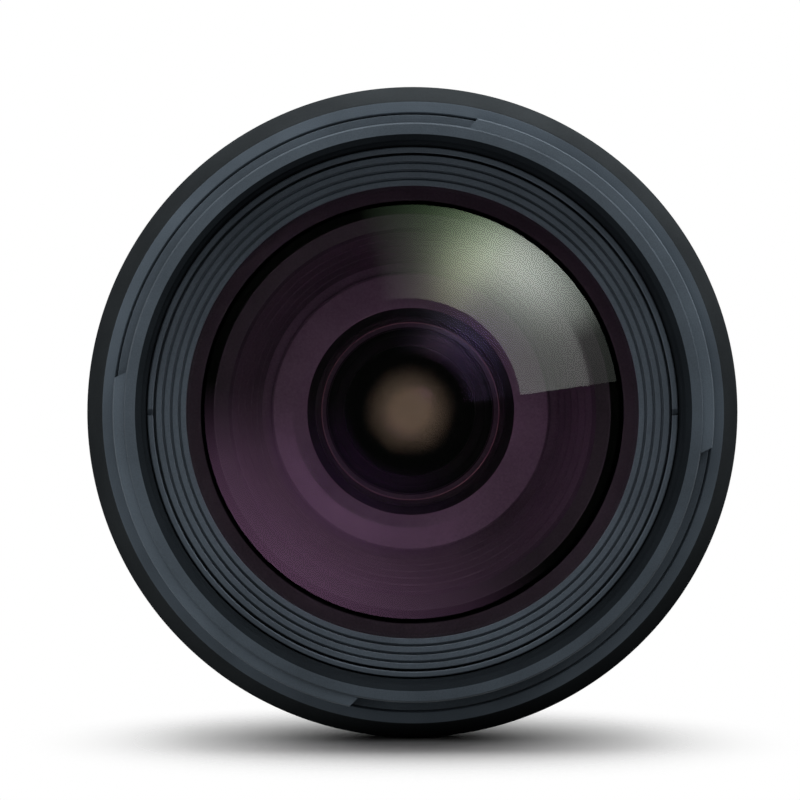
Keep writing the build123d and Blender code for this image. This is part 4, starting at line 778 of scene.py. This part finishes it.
def bare_metal(name, color, rough=0.25, lines=0.0):
    """Plain or plated metal with fine lines from turning and a trace of handling."""
    f = Finish(name)
    cloud = f.noise(5.0, 3.0)
    dark = grey(0.86, color)
    f.shine(Base_Color=f.blend(f.spread(cloud, 0.0, 1.0), dark, grey(1.0, color)))
    f.shine(Metallic=1.0, Roughness=f.spread(f.noise(1.2, 4.0), rough - 0.07, rough + 0.09))
    normal = f.bump(f.noise(0.25, 2.0), 0.0015)
    if lines:
        uneven = f.maths("MULTIPLY", f.rings(lines), f.noise(1.5, 2.0))
        normal = f.bump(uneven, LATHE_DEPTH, normal)
    f.shine(Normal=normal)
    return f.material


def circuit_board(name):
    """Green board with copper tracks under its lacquer."""
    f = Finish(name)
    bricks = f.add("ShaderNodeTexBrick", Vector=f.place, Scale=1 / (2.2 * MM), Mortar_Size=0.09)
    board = f.blend(f.noise(3.0), (0.006, 0.05, 0.02, 1.0), (0.012, 0.09, 0.035, 1.0))
    f.shine(Base_Color=f.blend(bricks.outputs["Fac"], board, (0.05, 0.2, 0.06, 1.0)))
    f.shine(Roughness=f.spread(f.noise(0.6), 0.25, 0.4), Normal=f.bump(bricks.outputs["Fac"], 0.02))
    return f.material


def paint(name, color):
    """Marking paint, slightly worn and uneven."""
    f = Finish(name)
    wear = f.noise(0.5, 4.0)
    f.shine(Base_Color=f.blend(f.spread(wear, 0.0, 1.0), grey(0.8, color), grey(1.0, color)))
    f.shine(Roughness=f.spread(wear, 0.4, 0.6), Normal=f.bump(wear, 0.004))
    return f.material


def coated_glass(name, tint, body=(1.0, 1.0, 1.0), lamps=(0.8, 0.8, 0.8), haze=0.0, clear=None):
    """Optical glass with a coloured coating, which lets lamps through to what is behind it.
    Where a clear radius is given, in millimetres, painted shade darkens the glass from a third of it
    outwards."""
    f = Finish(name)
    smear = f.noise(14.0, 3.0)
    f.shine(Base_Color=(*body, 1.0), Transmission_Weight=1.0, IOR=INDEX)
    if clear:
        # Painted shade: the glass's colour darkens towards the clear radius.
        painted_shade = f.spread(f.radius(), 0.0, 1.0, clear / 3, clear)
        f.shine(Base_Color=f.blend(painted_shade, (*body, 1.0), grey(0.004)))
    f.shine(Roughness=f.spread(smear, haze, haze + 0.004), Specular_IOR_Level=0.5)
    f.shine(Specular_Tint=(*tint, 1.0))
    f.let_through(f.add("ShaderNodeLightPath").outputs["Is Shadow Ray"], (*lamps, 1.0))
    return f.material


MADE = {}


def finish(name):
    """The named finish, made the first time that it is asked for."""
    if name not in MADE:
        MADE[name] = FINISHES[name](name)
    return MADE[name]


def give(piece, *names):
    """Give a piece its finishes, in the order of its mesh's slots."""
    faces = piece.data.polygons
    slots = [face.material_index for face in faces]
    piece.data.materials.clear()
    for name in names:
        piece.data.materials.append(finish(name))
    faces.foreach_set("material_index", [min(slot, len(names) - 1) for slot in slots])


# Numbers in order: for anodised metal its roughness, the size and depth of its grain and the width
# of its turning lines, for bare metal its roughness and the width of those lines. Sizes are in
# millimetres. Glass has the colours of its coating, of its body and of the lamps seen through it.
FINISHES = {
    "front ring satin": lambda name: anodised(
        name, grey(1.0, settings().ring_color), 0.5, 0.14, 0.008, 0.3, level=0.25
    ),
    "rim satin": lambda name: anodised(
        name, grey(0.78, settings().ring_color), 0.5, 0.14, 0.008, 0.3, level=0.25
    ),
    # Painted light: the stepped ring colour, also used on the retaining and baffle rings, is lifted
    # above the front ring's to make up for the rim's shadow.
    "front ring black": lambda name: anodised(
        name, grey(1.0, settings().land_color), 0.5, 0.2, 0.003, level=0.2
    ),
    "flank matt": lambda name: anodised(
        name, grey(1.0, settings().flank_color), 0.7, 0.2, 0.006, level=0.0
    ),
    "black mould": lambda name: anodised(name, grey(0.014), 0.5, 0.25, 0.006),
    "flank black": lambda name: anodised(name, grey(0.008), 0.5, 0.3, 0.004, level=0.2),
    "barrel black": lambda name: anodised(name, grey(0.016), 0.42, 0.16, 0.008),
    "thread black": lambda name: anodised(
        name, grey(0.014, (0.8, 1.0, 1.2)), 0.6, 0.2, 0.002, level=0.0
    ),
    "inner matt": lambda name: anodised(name, grey(0.045), 0.7, 0.3, 0.004, level=0.0),
    "seat grey": lambda name: anodised(name, grey(0.03), 0.7, 0.3, 0.004, level=0.0),
    "inner ledge": lambda name: anodised(name, grey(0.08), 0.7, 0.3, 0.004, level=0.0),
    "inner black": lambda name: anodised(name, grey(0.006), 0.6, 0.3, 0.003, level=0.2),
    # A painted highlight: a light pink colour on the second retaining ring's lip stands for a glint.
    "rubbed edge": lambda name: anodised(
        name, grey(0.2, (1.0, 0.66, 0.6)), 0.4, 0.2, 0.003, level=0.2
    ),
    "blade steel": lambda name: anodised(name, grey(0.03), 0.38, 0.5, 0.002, metal=0.6),
    "rubber grip": ribbed_rubber,
    "front coating": lambda name: coated_glass(
        name, (0.85, 1.0, 0.85), (1.0, 0.84, 0.97), (0.9, 0.7, 0.9)
    ),
    "violet coating": lambda name: coated_glass(
        name, (0.06, 0.065, 0.11), (1.0, 0.84, 0.97), (0.9, 0.7, 0.9)
    ),
    # Painted shade on the focus lens glass: its colour darkens outwards to 8.5 mm from the axis.
    "amber coating": lambda name: coated_glass(
        name, (0.1, 0.075, 0.05), (0.5, 0.47, 0.39), haze=0.25, clear=8.5
    ),
    "rear coating": lambda name: coated_glass(name, (0.2, 0.15, 0.1), (0.86, 0.84, 0.78), haze=0.1),
    "inner coating": lambda name: coated_glass(name, (0.05, 0.04, 0.06), (0.97, 0.95, 0.95)),
    "clear pane": lambda name: coated_glass(name, (1.0, 1.0, 1.0)),
    "plain steel": lambda name: bare_metal(name, (0.5, 0.5, 0.5), 0.28),
    "mount chrome": lambda name: bare_metal(name, (0.72, 0.71, 0.69), 0.2, 0.09),
    "cam brass": lambda name: bare_metal(name, (0.72, 0.52, 0.24), 0.3, 0.2),
    "gold contact": lambda name: bare_metal(name, (0.9, 0.66, 0.3), 0.16),
    "circuit board": circuit_board,
    "white paint": lambda name: paint(name, (0.72, 0.72, 0.69)),
    "red paint": lambda name: paint(name, (0.55, 0.02, 0.015)),
    "orange paint": lambda name: paint(name, (0.75, 0.26, 0.03)),
}


# What a user can change


def settings():
    """The sizes and colours of the lens that the user sets."""
    return bpy.context.scene.lens_settings


class LensSettings(bpy.types.PropertyGroup):
    """Sizes and colours of the lens's visible finish."""

    edge: FloatProperty(
        name="Turned edge",
        description="Width of the small round on each turned edge, in millimetres",
        default=0.12,
        min=0.02,
        max=0.4,
    )
    segments: IntProperty(
        name="Segments",
        description="Number of flats round each turned ring",
        default=256,
        min=64,
        max=512,
    )
    ring_color: FloatVectorProperty(
        name="Front ring",
        description="Colour of the satin front ring",
        subtype="COLOR",
        size=3,
        default=(0.074, 0.093, 0.113),
        min=0.0,
        max=1.0,
    )
    flank_color: FloatVectorProperty(
        name="Flank",
        description="Colour of the chamfer behind the front ring",
        subtype="COLOR",
        size=3,
        default=(0.02, 0.023, 0.025),
        min=0.0,
        max=1.0,
    )
    # Painted light: lighter than the front ring, to make up for the shade that the rim casts on the
    # stepped ring.
    land_color: FloatVectorProperty(
        name="Stepped ring",
        description="Colour of the stepped ring round the front glass",
        subtype="COLOR",
        size=3,
        default=(0.085, 0.105, 0.128),
        min=0.0,
        max=1.0,
    )
    lug_angle: FloatProperty(
        name="Hood lug angle",
        description="Middle of the first hood lug, in degrees from +X towards +Z",
        default=215.5,
    )
    lug_span: FloatProperty(
        name="Hood lug span",
        description="Length of each hood lug, in degrees",
        default=87.5,
        min=10.0,
        max=120.0,
    )
    ribs: IntProperty(
        name="Grip ribs",
        description="Number of ribs round the focus grip",
        default=72,
        min=24,
        max=144,
    )
    rib_width: FloatProperty(
        name="Rib width",
        description="Width of each rib of the focus grip, in millimetres",
        default=2.2,
        min=0.5,
        max=4.0,
    )


class StageSettings(bpy.types.PropertyGroup):
    """Camera, lamps and floor."""

    key: FloatProperty(
        name="Key lamp",
        description="Power of the soft lamp at the upper right front",
        default=0.3,
        unit="POWER",
    )
    top: FloatProperty(
        name="Top lamp",
        description="Power of the near lamp above the front ring",
        default=0.15,
        unit="POWER",
    )
    left: FloatProperty(
        name="Left lamp",
        description="Power of the near lamp at the left of the front ring",
        default=0.08,
        unit="POWER",
    )
    front: FloatProperty(
        name="Front lamp",
        description="Power of the soft lamp below the camera",
        default=0.5,
        unit="POWER",
    )
    side: FloatProperty(
        name="Side lamp",
        description="Power of the lamp at the upper right side",
        default=3.4,
        unit="POWER",
    )
    overhead: FloatProperty(
        name="Overhead lamp",
        description="Power of the wide lamp above the lens",
        default=12.0,
        unit="POWER",
    )
    ambient: FloatProperty(
        name="Ambient",
        description="Level of the plain light from all round",
        default=0.09,
        min=0.0,
    )
    fan: FloatProperty(
        name="Fan panel",
        description="Brightness of the panel that the glass mirrors at the upper right",
        default=6.0,
        min=0.0,
    )
    left_fill: FloatProperty(
        name="Left panel",
        description="Brightness of the panel that the glass mirrors at the lower left",
        default=1.7,
        min=0.0,
    )
    focal: FloatProperty(
        name="Focal length",
        description="Focal length of the camera that looks at the lens",
        default=248.4,
        unit="CAMERA",
    )
    distance: FloatProperty(
        name="Distance",
        description="From the front rim to the camera",
        default=0.72,
        unit="LENGTH",
    )
    floor_middle: FloatProperty(
        name="Floor middle",
        description="From the front rim back to the middle of the floor",
        default=0.006,
        unit="LENGTH",
    )
    floor_wide: FloatProperty(
        name="Floor width",
        description="Half the width at which the floor has faded into the white background",
        default=0.053,
        unit="LENGTH",
    )
    floor_deep: FloatProperty(
        name="Floor depth",
        description="Half the depth at which the floor has faded into the white background",
        default=0.08,
        unit="LENGTH",
    )


# Pieces


def dress(node, mesh, *finishes):
    """Put a mesh in place of a CAD piece, with its finishes, on the same body."""
    piece = new_piece(mesh.name, mesh, cad[node]["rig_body"], SLOTS[node], (node,))
    give(piece, *finishes)


class LENS_OT_glass(bpy.types.Operator):
    """Grind and coat the glass elements"""

    bl_idname = "lens.glass"
    bl_label = "Glass"

    def execute(self, context):
        for node, front, back, edge, clear in (
            ("front_element", "front coating", "violet coating", "seat grey", 0.76),
            ("second_element", "inner coating", "inner coating", "inner black", 1.0),
            ("focus_lens_front", "amber coating", "amber coating", "inner black", 1.0),
            ("focus_lens_rear", "amber coating", "amber coating", "inner black", 1.0),
            ("rear_doublet_front", "rear coating", "rear coating", "inner black", 1.0),
            ("rear_doublet_back", "rear coating", "rear coating", "inner black", 1.0),
            ("rear_element", "rear coating", "rear coating", "inner black", 1.0),
        ):
            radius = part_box(node)[1].x
            ground = radius - 0.12 * MM

            def side(a, b, out, ground=ground, painted=clear * radius):
                """0 for the front face, 1 for the rear one, 2 for the painted edge and seat."""
                inner = min(a.x, b.x)
                if inner > ground or (out.y > 0 and inner > painted):
                    return 2
                return 0 if out.y < 0 else 1

            mesh = turned(node, 0.1, "glass", GLASS_SECTION, side)
            dress(node, mesh, front, back, edge)
        return {"FINISHED"}


class LENS_OT_nose(bpy.types.Operator):
    """Turn the front sleeve, the filter ring with its lugs, and the rings round the glass"""

    bl_idname = "lens.nose"
    bl_label = "Nose"

    def execute(self, context):
        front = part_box("front_sleeve")[0].y
        face = max(p.x for p in profile("front_sleeve") if p.y < front + 0.02 * MM)
        wall, lip_width, level = 2.9 * MM, 0.12 * MM, 0.7
        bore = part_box("filter_ring")[1].x - wall
        lip = min(p.x for p in profile("second_retaining_ring")) + lip_width

        def off_face(a, b, out):
            """1 for all but the flat front of the sleeve."""
            return int(a.y + b.y >= 2 * front + MM or max(a.x, b.x) > face)

        def in_bore(a, b, out):
            """1 for the filter ring's thread and bore."""
            return int(max(a.x, b.x) < bore)

        def off_ledge(a, b, out):
            """1 for all but the flat front of the inner cell."""
            return int(out.y > -level)

        def on_lip(a, b, out):
            """1 for the front of the retaining ring's inner lip, which carries a painted pink glint."""
            return int(max(a.x, b.x) < lip and out.y < 0)

        sleeve = turned("front_sleeve", settings().edge, slot_of=off_face)
        dress("front_sleeve", sleeve, "front ring satin", "flank matt")
        ring = turned("filter_ring", 0.07, slot_of=in_bore)
        dress("filter_ring", ring, "rim satin", "thread black")
        self.add_lugs()
        dress("front_retaining_ring", merged("front_retaining_ring", "turned"), "front ring black")
        for node, slot_of, *finishes in (
            ("front_baffle_ring", None, "front ring black"),
            ("front_cell", None, "seat grey"),
            ("ribbed_baffle", None, "inner matt"),
            ("inner_cell", off_ledge, "inner ledge", "inner black"),
            # The lip of the second retaining ring carries a painted pink glint.
            ("second_retaining_ring", on_lip, "inner black", "rubbed edge"),
        ):
            dress(node, turned(node, 0.08, slot_of=slot_of), *finishes)
        return {"FINISHED"}

    def add_lugs(self):
        """Two long lugs for a hood, opposite each other on the rim."""
        depth, sunk, edge = 1.5 * MM, 0.2 * MM, 0.2 * MM
        rim = max(p.x for p in profile("filter_ring") if p.y < RIM_Y + depth)
        lug = [p for p in profile("filter_ring", LUG_SECTION) if p.x > rim + sunk / 2]
        low, high = min(p.y for p in lug), max(p.y for p in lug)
        inner, outer = rim - sunk, max(p.x for p in lug)
        bar = [Vector(p) for p in ((inner, low), (inner, high), (outer, high), (outer, low))]
        path = softened(bar, True, edge)
        reach = settings().lug_span / 2
        for k in range(2):
            middle = settings().lug_angle + 180.0 * k
            mesh = sector(f"hood_lug_{k + 1}", path, middle - reach, middle + reach)
            add_piece(mesh.name, mesh, "barrel", "satin_grey", "front ring satin")


class LENS_OT_barrel(bpy.types.Operator):
    """Turn and paint the barrel, its window and its screws"""

    bl_idname = "lens.barrel"
    bl_label = "Barrel"

    def execute(self, context):
        dress("focus_ring", turned("focus_ring", settings().edge), "barrel black")
        dress("outer_barrel", merged("outer_barrel", "painted"), "barrel black")
        dress("scale_window", merged("scale_window", "pane"), "clear pane")
        dress("barrel_screws", merged("barrel_screws", "slotted"), "plain steel")
        dress("distance_scale", turned("distance_scale", 0.1), "flank black")
        return {"FINISHED"}


class LENS_OT_grip(bpy.types.Operator):
    """Mould the ribbed rubber sleeve of the focus ring"""

    bl_idname = "lens.grip"
    bl_label = "Focus grip"

    def execute(self, context):
        count = settings().ribs
        between = 180.0 / count
        outer = max(p.x for p in profile("focus_grip", between))
        ribbed = [p.y for p in profile("focus_grip", RIB_SECTION) if p.x > outer + 0.2 * MM]
        dress("focus_grip", turned("focus_grip", 0.2, "sleeve", between), "rubber grip")
        half = settings().rib_width / 2 * MM
        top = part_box("focus_grip")[1].x - 0.01 * MM
        low, high = (outer - 0.3 * MM, min(ribbed), -half), (top, max(ribbed), half)
        bar = block(low, high, edge=0.22 * MM, steps=3)
        mesh = around("focus_grip_ribs", bar, count, 0.0, 360.0 / count, "rubber grip")
        add_piece("focus_grip_ribs", mesh, "focus_drive", "black_rubber", "rubber grip")
        return {"FINISHED"}


class LENS_OT_aperture(bpy.types.Operator):
    """Finish the scalloped aperture ring and the rear sleeve"""

    bl_idname = "lens.aperture"
    bl_label = "Aperture ring"

    def execute(self, context):
        dress("aperture_ring", merged("aperture_ring", "milled", 28.0), "barrel black")
        dress("rear_sleeve", turned("rear_sleeve", settings().edge), "barrel black")
        return {"FINISHED"}


class LENS_OT_rear(bpy.types.Operator):
    """Plate the mount and finish what the rear opening shows"""

    bl_idname = "lens.rear"
    bl_label = "Mount and rear"

    def execute(self, context):
        dress("mount_flange", merged("mount_flange", "plated"), "mount chrome")
        dress("mount_screws", merged("mount_screws", "crossed"), "plain steel")
        dress("contact_pins", merged("contact_pins", "gilt", 30.0), "gold contact")
        dress("contact_block", merged("contact_block", "moulded"), "black mould")
        dress("rear_baffle", merged("rear_baffle", "moulded"), "inner matt")
        dress("rear_cell", turned("rear_cell", 0.1), "inner matt")
        dress("rear_retaining_ring", merged("rear_retaining_ring", "turned"), "front ring black")
        return {"FINISHED"}


class LENS_OT_switch(bpy.types.Operator):
    """Mould the focus switch and its plate"""

    bl_idname = "lens.switch"
    bl_label = "Switch"

    def execute(self, context):
        dress("switch_plate", merged("switch_plate", "moulded", edge=0.12), "black mould")
        knob = merged("focus_mode_switch", "moulded", edge=0.15)
        dress("focus_mode_switch", knob, "black mould")
        low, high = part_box("switch_plate")
        middle = (low + high) / 2
        step, half, sunk = 1.5 * MM, 0.2 * MM, 0.02 * MM
        start, end = middle.y - 3.5 * MM, middle.y - 2.1 * MM
        for name, look, z in (
            ("switch_mark_low", "orange paint", middle.z - step),
            ("switch_mark_high", "white paint", middle.z + step),
        ):
            bar = block((high.x - sunk, start, z - half), (high.x + PROUD, end, z + half))
            add_piece(name, bar, "barrel", "black_plastic", look)
        return {"FINISHED"}


class LENS_OT_marks(bpy.types.Operator):
    """Paint the figures, ticks and index marks"""

    bl_idname = "lens.marks"
    bl_label = "Marks"

    def execute(self, context):
        self.mark_stops()
        self.mark_distances()
        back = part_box("outer_barrel")[1].y
        start, end, half = back - 3.6 * MM, back - 1.2 * MM, 0.16 * MM
        outer = max(p.x for p in profile("outer_barrel") if p.y > back - 12 * MM) + PROUD
        index = block((outer - 2 * PROUD, start, -half), (outer, end, half))
        mesh = around("stop_index", index, 1, TOP, 0.0, "white paint")
        add_piece("stop_index", mesh, "barrel", "steel", "white paint")

        skin = profile("rear_sleeve")
        outer = max(p.x for p in skin)
        band = [p.y for p in skin if p.x > outer - 0.05 * MM]
        dot = bead(outer, (min(band) + max(band)) / 2, 1.0 * MM, 0.3 * MM)
        mesh = around("mount_dot", dot, 1, TOP, 0.0, "red paint")
        add_piece("mount_dot", mesh, "barrel", "steel", "red paint")
        return {"FINISHED"}

    def mark_stops(self):
        """The stops on the front band of the aperture ring."""
        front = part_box("aperture_ring")[0].y
        size, y = 2.7, front + 2.9 * MM
        band = max(p.x for p in profile("aperture_ring") if p.y < front + 3.0 * MM) + PROUD
        figures = [lettering(stop, size, band, y, TOP + STOP_STEP * k) for k, stop in enumerate(STOPS)]
        mesh = united("aperture_figures", figures)
        add_piece("aperture_figures", mesh, "aperture_drive", "steel", "white paint")

    def mark_distances(self):
        """The distances that pass under the window, and their ticks."""
        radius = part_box("distance_scale")[1].x + PROUD
        low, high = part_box("scale_window")
        middle = (low.y + high.y) / 2
        size, y = 2.4, middle - 1.0 * MM
        figures = [lettering(far, size, radius, y, TOP + turn, not turn) for far, turn in DISTANCES]
        mesh = united("distance_figures", figures)
        add_piece("distance_figures", mesh, "focus_drive", "steel", "white paint")
        start, end, half = middle + 1.4 * MM, middle + 2.4 * MM, 0.1 * MM
        tick = block((radius - PROUD, start, -half), (radius, end, half))
        mesh = around("distance_ticks", tick, len(DISTANCES), TOP, TICK_STEP, "orange paint")
        add_piece("distance_ticks", mesh, "focus_drive", "steel", "orange paint")


class LENS_OT_inner(bpy.types.Operator):
    """Finish the pieces that stay as the CAD made them"""

    bl_idname = "lens.inner"
    bl_label = "Inner works"

    def execute(self, context):
        finish_of_slot = {
            "black_metal": "inner black",
            "black_plastic": "black mould",
            "black_steel": "blade steel",
            "blade_steel": "blade steel",
            "steel": "plain steel",
            "brass_cam": "cam brass",
            "green_board": "circuit board",
            "coated_glass": "rear coating",
        }
        for name, piece in cad.items():
            if not piece.hide_render:
                give(piece, finish_of_slot[SLOTS[name]])
        return {"FINISHED"}


# Stage


def aimed(item, place, aim):
    """Put a lamp or camera at a place and turn it to an aim."""
    item.location = place
    item.rotation_euler = (Vector(aim) - Vector(place)).to_track_quat("-Z", "Y").to_euler()


def area_lamp(name, energy, size, place, aim):
    """A square soft lamp at a place, turned to an aim."""
    data = bpy.data.lights.new(name, "AREA")
    data.shape = "SQUARE"
    data.size = size
    data.energy = energy
    lamp = placed(name, data)
    aimed(lamp, place, aim)
    lamp.visible_glossy = False
    lamp.visible_transmission = False
    return lamp


class LENS_OT_stage(bpy.types.Operator):
    """Set the floor, the lamps and the camera"""

    bl_idname = "lens.stage"
    bl_label = "Stage"

    def execute(self, context):
        context.scene.view_settings.view_transform = "Standard"
        set_up = context.scene.stage_settings
        white_world(set_up.ambient)
        floor = white_floor(set_up)

        data = bpy.data.cameras.new("camera")
        data.lens = set_up.focal
        data.sensor_width = 36.0
        camera = placed("camera", data)
        place = (STAND[0], RIM_Y - set_up.distance, STAND[1])
        aimed(camera, place, (AIM[0], RIM_Y, AIM[1]))
        context.scene.camera = camera

        dome = cone_patch("dark_dome", (0.0, 86.0), (0.0, 360.0), DOME_AWAY)
        black = Finish("dome black")
        black.shine(Base_Color=grey(0.0))
        dome.data.materials.append(black.material)
        unseen(dome)
        rim = Vector((0.0, RIM_Y, 0.0))
        spared = bpy.data.collections.new("floor without the lens's lamps")
        spared.objects.link(floor)
        spared.collection_objects[0].light_linking.link_state = "EXCLUDE"
        for name, power, size, place in (
            ("key", set_up.key, 0.3, rim + toward(46, 50) * 0.62),
            ("top", set_up.top, 0.12, rim + Vector((-0.012, -0.07, 0.135))),
            ("left", set_up.left, 0.1, rim + Vector((-0.13, -0.05, -0.02))),
            ("front", set_up.front, 0.2, rim + toward(14, 260) * 0.6),
            ("side", set_up.side, 0.3, rim + toward(84, 47) * 0.6),
        ):
            area_lamp(name, power, size, place, rim).light_linking.receiver_collection = spared
        area_lamp("overhead", set_up.overhead, 0.7, (0.0, 0.4, 0.75), (0.0, -0.03, 0.0))
        glass = bpy.data.collections.new("front glass")
        glass.objects.link(bpy.data.objects["front_element_glass"])
        panel("fan", (24.0, 60.0), (8.0, 104.0), set_up.fan, fan_glow, glass)
        panel("left_panel", (25.0, 60.0), (172.0, 312.0), set_up.left_fill, left_glow, glass)
        return {"FINISHED"}


def white_world(ambient):
    """A world that looks white and gives a plain light from all round."""
    world = bpy.data.worlds.new("studio")
    bpy.context.scene.world = world
    world.use_nodes = True
    tree = world.node_tree
    plain_light = tree.nodes["Background"]
    plain_light.inputs["Color"].default_value = grey(ambient)
    white = tree.nodes.new("ShaderNodeBackground")
    white.inputs["Color"].default_value = grey(1.0)
    path = tree.nodes.new("ShaderNodeLightPath")
    seen = path.outputs["Is Camera Ray"]
    for kind in ("Is Glossy Ray", "Is Transmission Ray"):
        either = tree.nodes.new("ShaderNodeMath")
        either.operation = "MAXIMUM"
        tree.links.new(seen, either.inputs[0])
        tree.links.new(path.outputs[kind], either.inputs[1])
        seen = either.outputs[0]
    mix = tree.nodes.new("ShaderNodeMixShader")
    for k, output in enumerate((seen, plain_light.outputs[0], white.outputs[0])):
        tree.links.new(output, mix.inputs[k])
    tree.links.new(mix.outputs[0], tree.nodes["World Output"].inputs["Surface"])


def white_floor(set_up):
    """A white floor below the lens that fades into the background round an ellipse."""
    mesh = bpy.data.meshes.new("floor")
    wide = 0.8
    corners = ((-wide, -wide), (wide, -wide), (wide, wide), (-wide, wide))
    mesh.from_pydata([(x, y, FLOOR_Z) for x, y in corners], [], [(0, 1, 2, 3)])
    paper = Finish("floor white")
    paper.shine(Base_Color=grey(0.9), Roughness=0.9, Specular_IOR_Level=0.0)
    middle = (0.0, RIM_Y + set_up.floor_middle, 0.0)
    reach = (set_up.floor_wide, set_up.floor_deep, 1.0)
    ellipse = paper.add("ShaderNodeMapping")
    ellipse.vector_type = "TEXTURE"
    paper.fill(ellipse, Vector=paper.place, Location=middle, Scale=reach)
    fade = paper.spread(paper.length(ellipse.outputs[0]), 0.0, 1.0, 0.1, 1.0)
    fade.node.interpolation_type = "SMOOTHSTEP"
    paper.let_through(fade, grey(1.0))
    mesh.materials.append(paper.material)
    floor = placed("floor", mesh)
    floor.visible_glossy = False
    floor.visible_transmission = False
    floor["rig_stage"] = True
    return floor


def fan_glow(u, v):
    """White with a bright middle, warm further in, turning green and fading towards the top.
    Its outer half is dim near the lower end."""
    level = 0.3 - 0.15 * hump(v, 1.0, 0.5) + 1.3 * hump(u, 0.46, 0.2) * hump(v, 0.43, 0.23)
    level += 0.6 * hump(u, 0.65, 0.13) * hump(v, 0.24, 0.22)
    level *= min(1.0, 2.4 * (1 - u))
    level *= 1 - 0.7 * ramp(v, 0.41, 0.44) * ramp(u, 0.23, 0.15)
    green = ramp(u, 0.5, 0.81) * ramp(v, 0.15, 0.75)
    warm = hump(u, 0.7, 0.2) * (1 - v)
    red, blue = 1 - 0.4 * green, 1 - 0.45 * green - 0.25 * warm
    return (level * red, level * (0.94 + 0.06 * green), level * blue)


def left_glow(u, v):
    """Purple with soft ends."""
    level = hump(u, 0.42, 0.36) * (0.5 + 0.5 * hump(v, 0.6, 0.3)) * min(1.0, 6 * u, 6 - 6 * u)
    return (level, 0.42 * level, 0.95 * level)


def toward(off, azimuth):
    """Direction at an angle off the lens axis, to an azimuth from +X towards +Z."""
    off, azimuth = math.radians(off), math.radians(azimuth)
    flat = math.sin(off)
    return Vector((flat * math.cos(azimuth), -math.cos(off), flat * math.sin(azimuth)))


def ramp(share, start, end):
    """A straight rise from 0 at the start to 1 at the end."""
    return min(1.0, max(0.0, (share - start) / (end - start)))


def hump(share, middle, width):
    """A soft bump, 1 at its middle."""
    return math.exp(-(((share - middle) / width) ** 2))


def cone_patch(name, off, azimuth, distance, steps=32):
    """A staged patch of a sphere round the front rim, between two angles off the axis."""
    rim = Vector((0.0, RIM_Y, 0.0))
    verts = []
    for i in range(steps + 1):
        turn = azimuth[0] + (azimuth[1] - azimuth[0]) * i / steps
        for j in range(steps + 1):
            lean = off[0] + (off[1] - off[0]) * j / steps
            verts.append(rim + toward(lean, turn) * distance)
    wide = steps + 1
    faces = [
        (i * wide + j, i * wide + j + 1, (i + 1) * wide + j + 1, (i + 1) * wide + j)
        for i in range(steps)
        for j in range(steps)
    ]
    mesh = bpy.data.meshes.new(name)
    mesh.from_pydata(verts, [], faces)
    patch = placed(name, mesh)
    patch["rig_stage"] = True
    return patch


def unseen(item):
    """Leave a stage item to reflections alone."""
    item.visible_camera = False
    item.visible_diffuse = False
    item.visible_shadow = False


def panel(name, off, azimuth, strength, glow, glass, steps=48):
    """A soft panel that the front glass alone mirrors, part of a sphere round the front rim.
    Its colour at (share across, share outwards) is the glow."""
    light = cone_patch(name, off, azimuth, PANEL_AWAY, steps)
    colors = [(*glow(i / steps, j / steps), 1.0) for i in range(steps + 1) for j in range(steps + 1)]
    glows = light.data.attributes.new("glow", "FLOAT_COLOR", "POINT")
    glows.data.foreach_set("color", [value for color in colors for value in color])
    screen = Finish(name + " light")
    color = screen.add("ShaderNodeAttribute")
    color.attribute_name = "glow"
    screen.shine(Base_Color=grey(0.0), Emission_Strength=strength)
    screen.shine(Emission_Color=color.outputs["Color"])
    light.data.materials.append(screen.material)
    unseen(light)
    light.light_linking.receiver_collection = glass


class LENS_PT_panel(bpy.types.Panel):
    """Lists the lens's pieces and its stage"""

    bl_label = "Wide angle lens"
    bl_idname = "LENS_PT_panel"
    bl_space_type = "VIEW_3D"
    bl_region_type = "UI"
    bl_category = "Lens"

    def draw(self, context):
        layout = self.layout
        for group in (context.scene.lens_settings, context.scene.stage_settings):
            for name in group.__annotations__:
                layout.prop(group, name)
        for kind in OPERATORS:
            layout.operator(kind.bl_idname)


GROUPS = (LensSettings, StageSettings)
OPERATORS = (
    LENS_OT_glass,
    LENS_OT_nose,
    LENS_OT_barrel,
    LENS_OT_grip,
    LENS_OT_aperture,
    LENS_OT_rear,
    LENS_OT_switch,
    LENS_OT_marks,
    LENS_OT_inner,
    LENS_OT_stage,
)


def register():
    for kind in (*GROUPS, *OPERATORS, LENS_PT_panel):
        bpy.utils.register_class(kind)
    bpy.types.Scene.lens_settings = PointerProperty(type=LensSettings)
    bpy.types.Scene.stage_settings = PointerProperty(type=StageSettings)


def unregister():
    del bpy.types.Scene.stage_settings
    del bpy.types.Scene.lens_settings
    for kind in reversed((*GROUPS, *OPERATORS, LENS_PT_panel)):
        bpy.utils.unregister_class(kind)


def main():
    """Build the dressed lens and its stage."""
    register()
    for kind in OPERATORS:
        group, name = kind.bl_idname.split(".")
        getattr(getattr(bpy.ops, group), name)()
    boxes = {"cad": CAD_BOX, "visual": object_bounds()}
    {k: [list(corner) for corner in v] for k, v in boxes.items()}


if __name__ == "__main__":
    main()
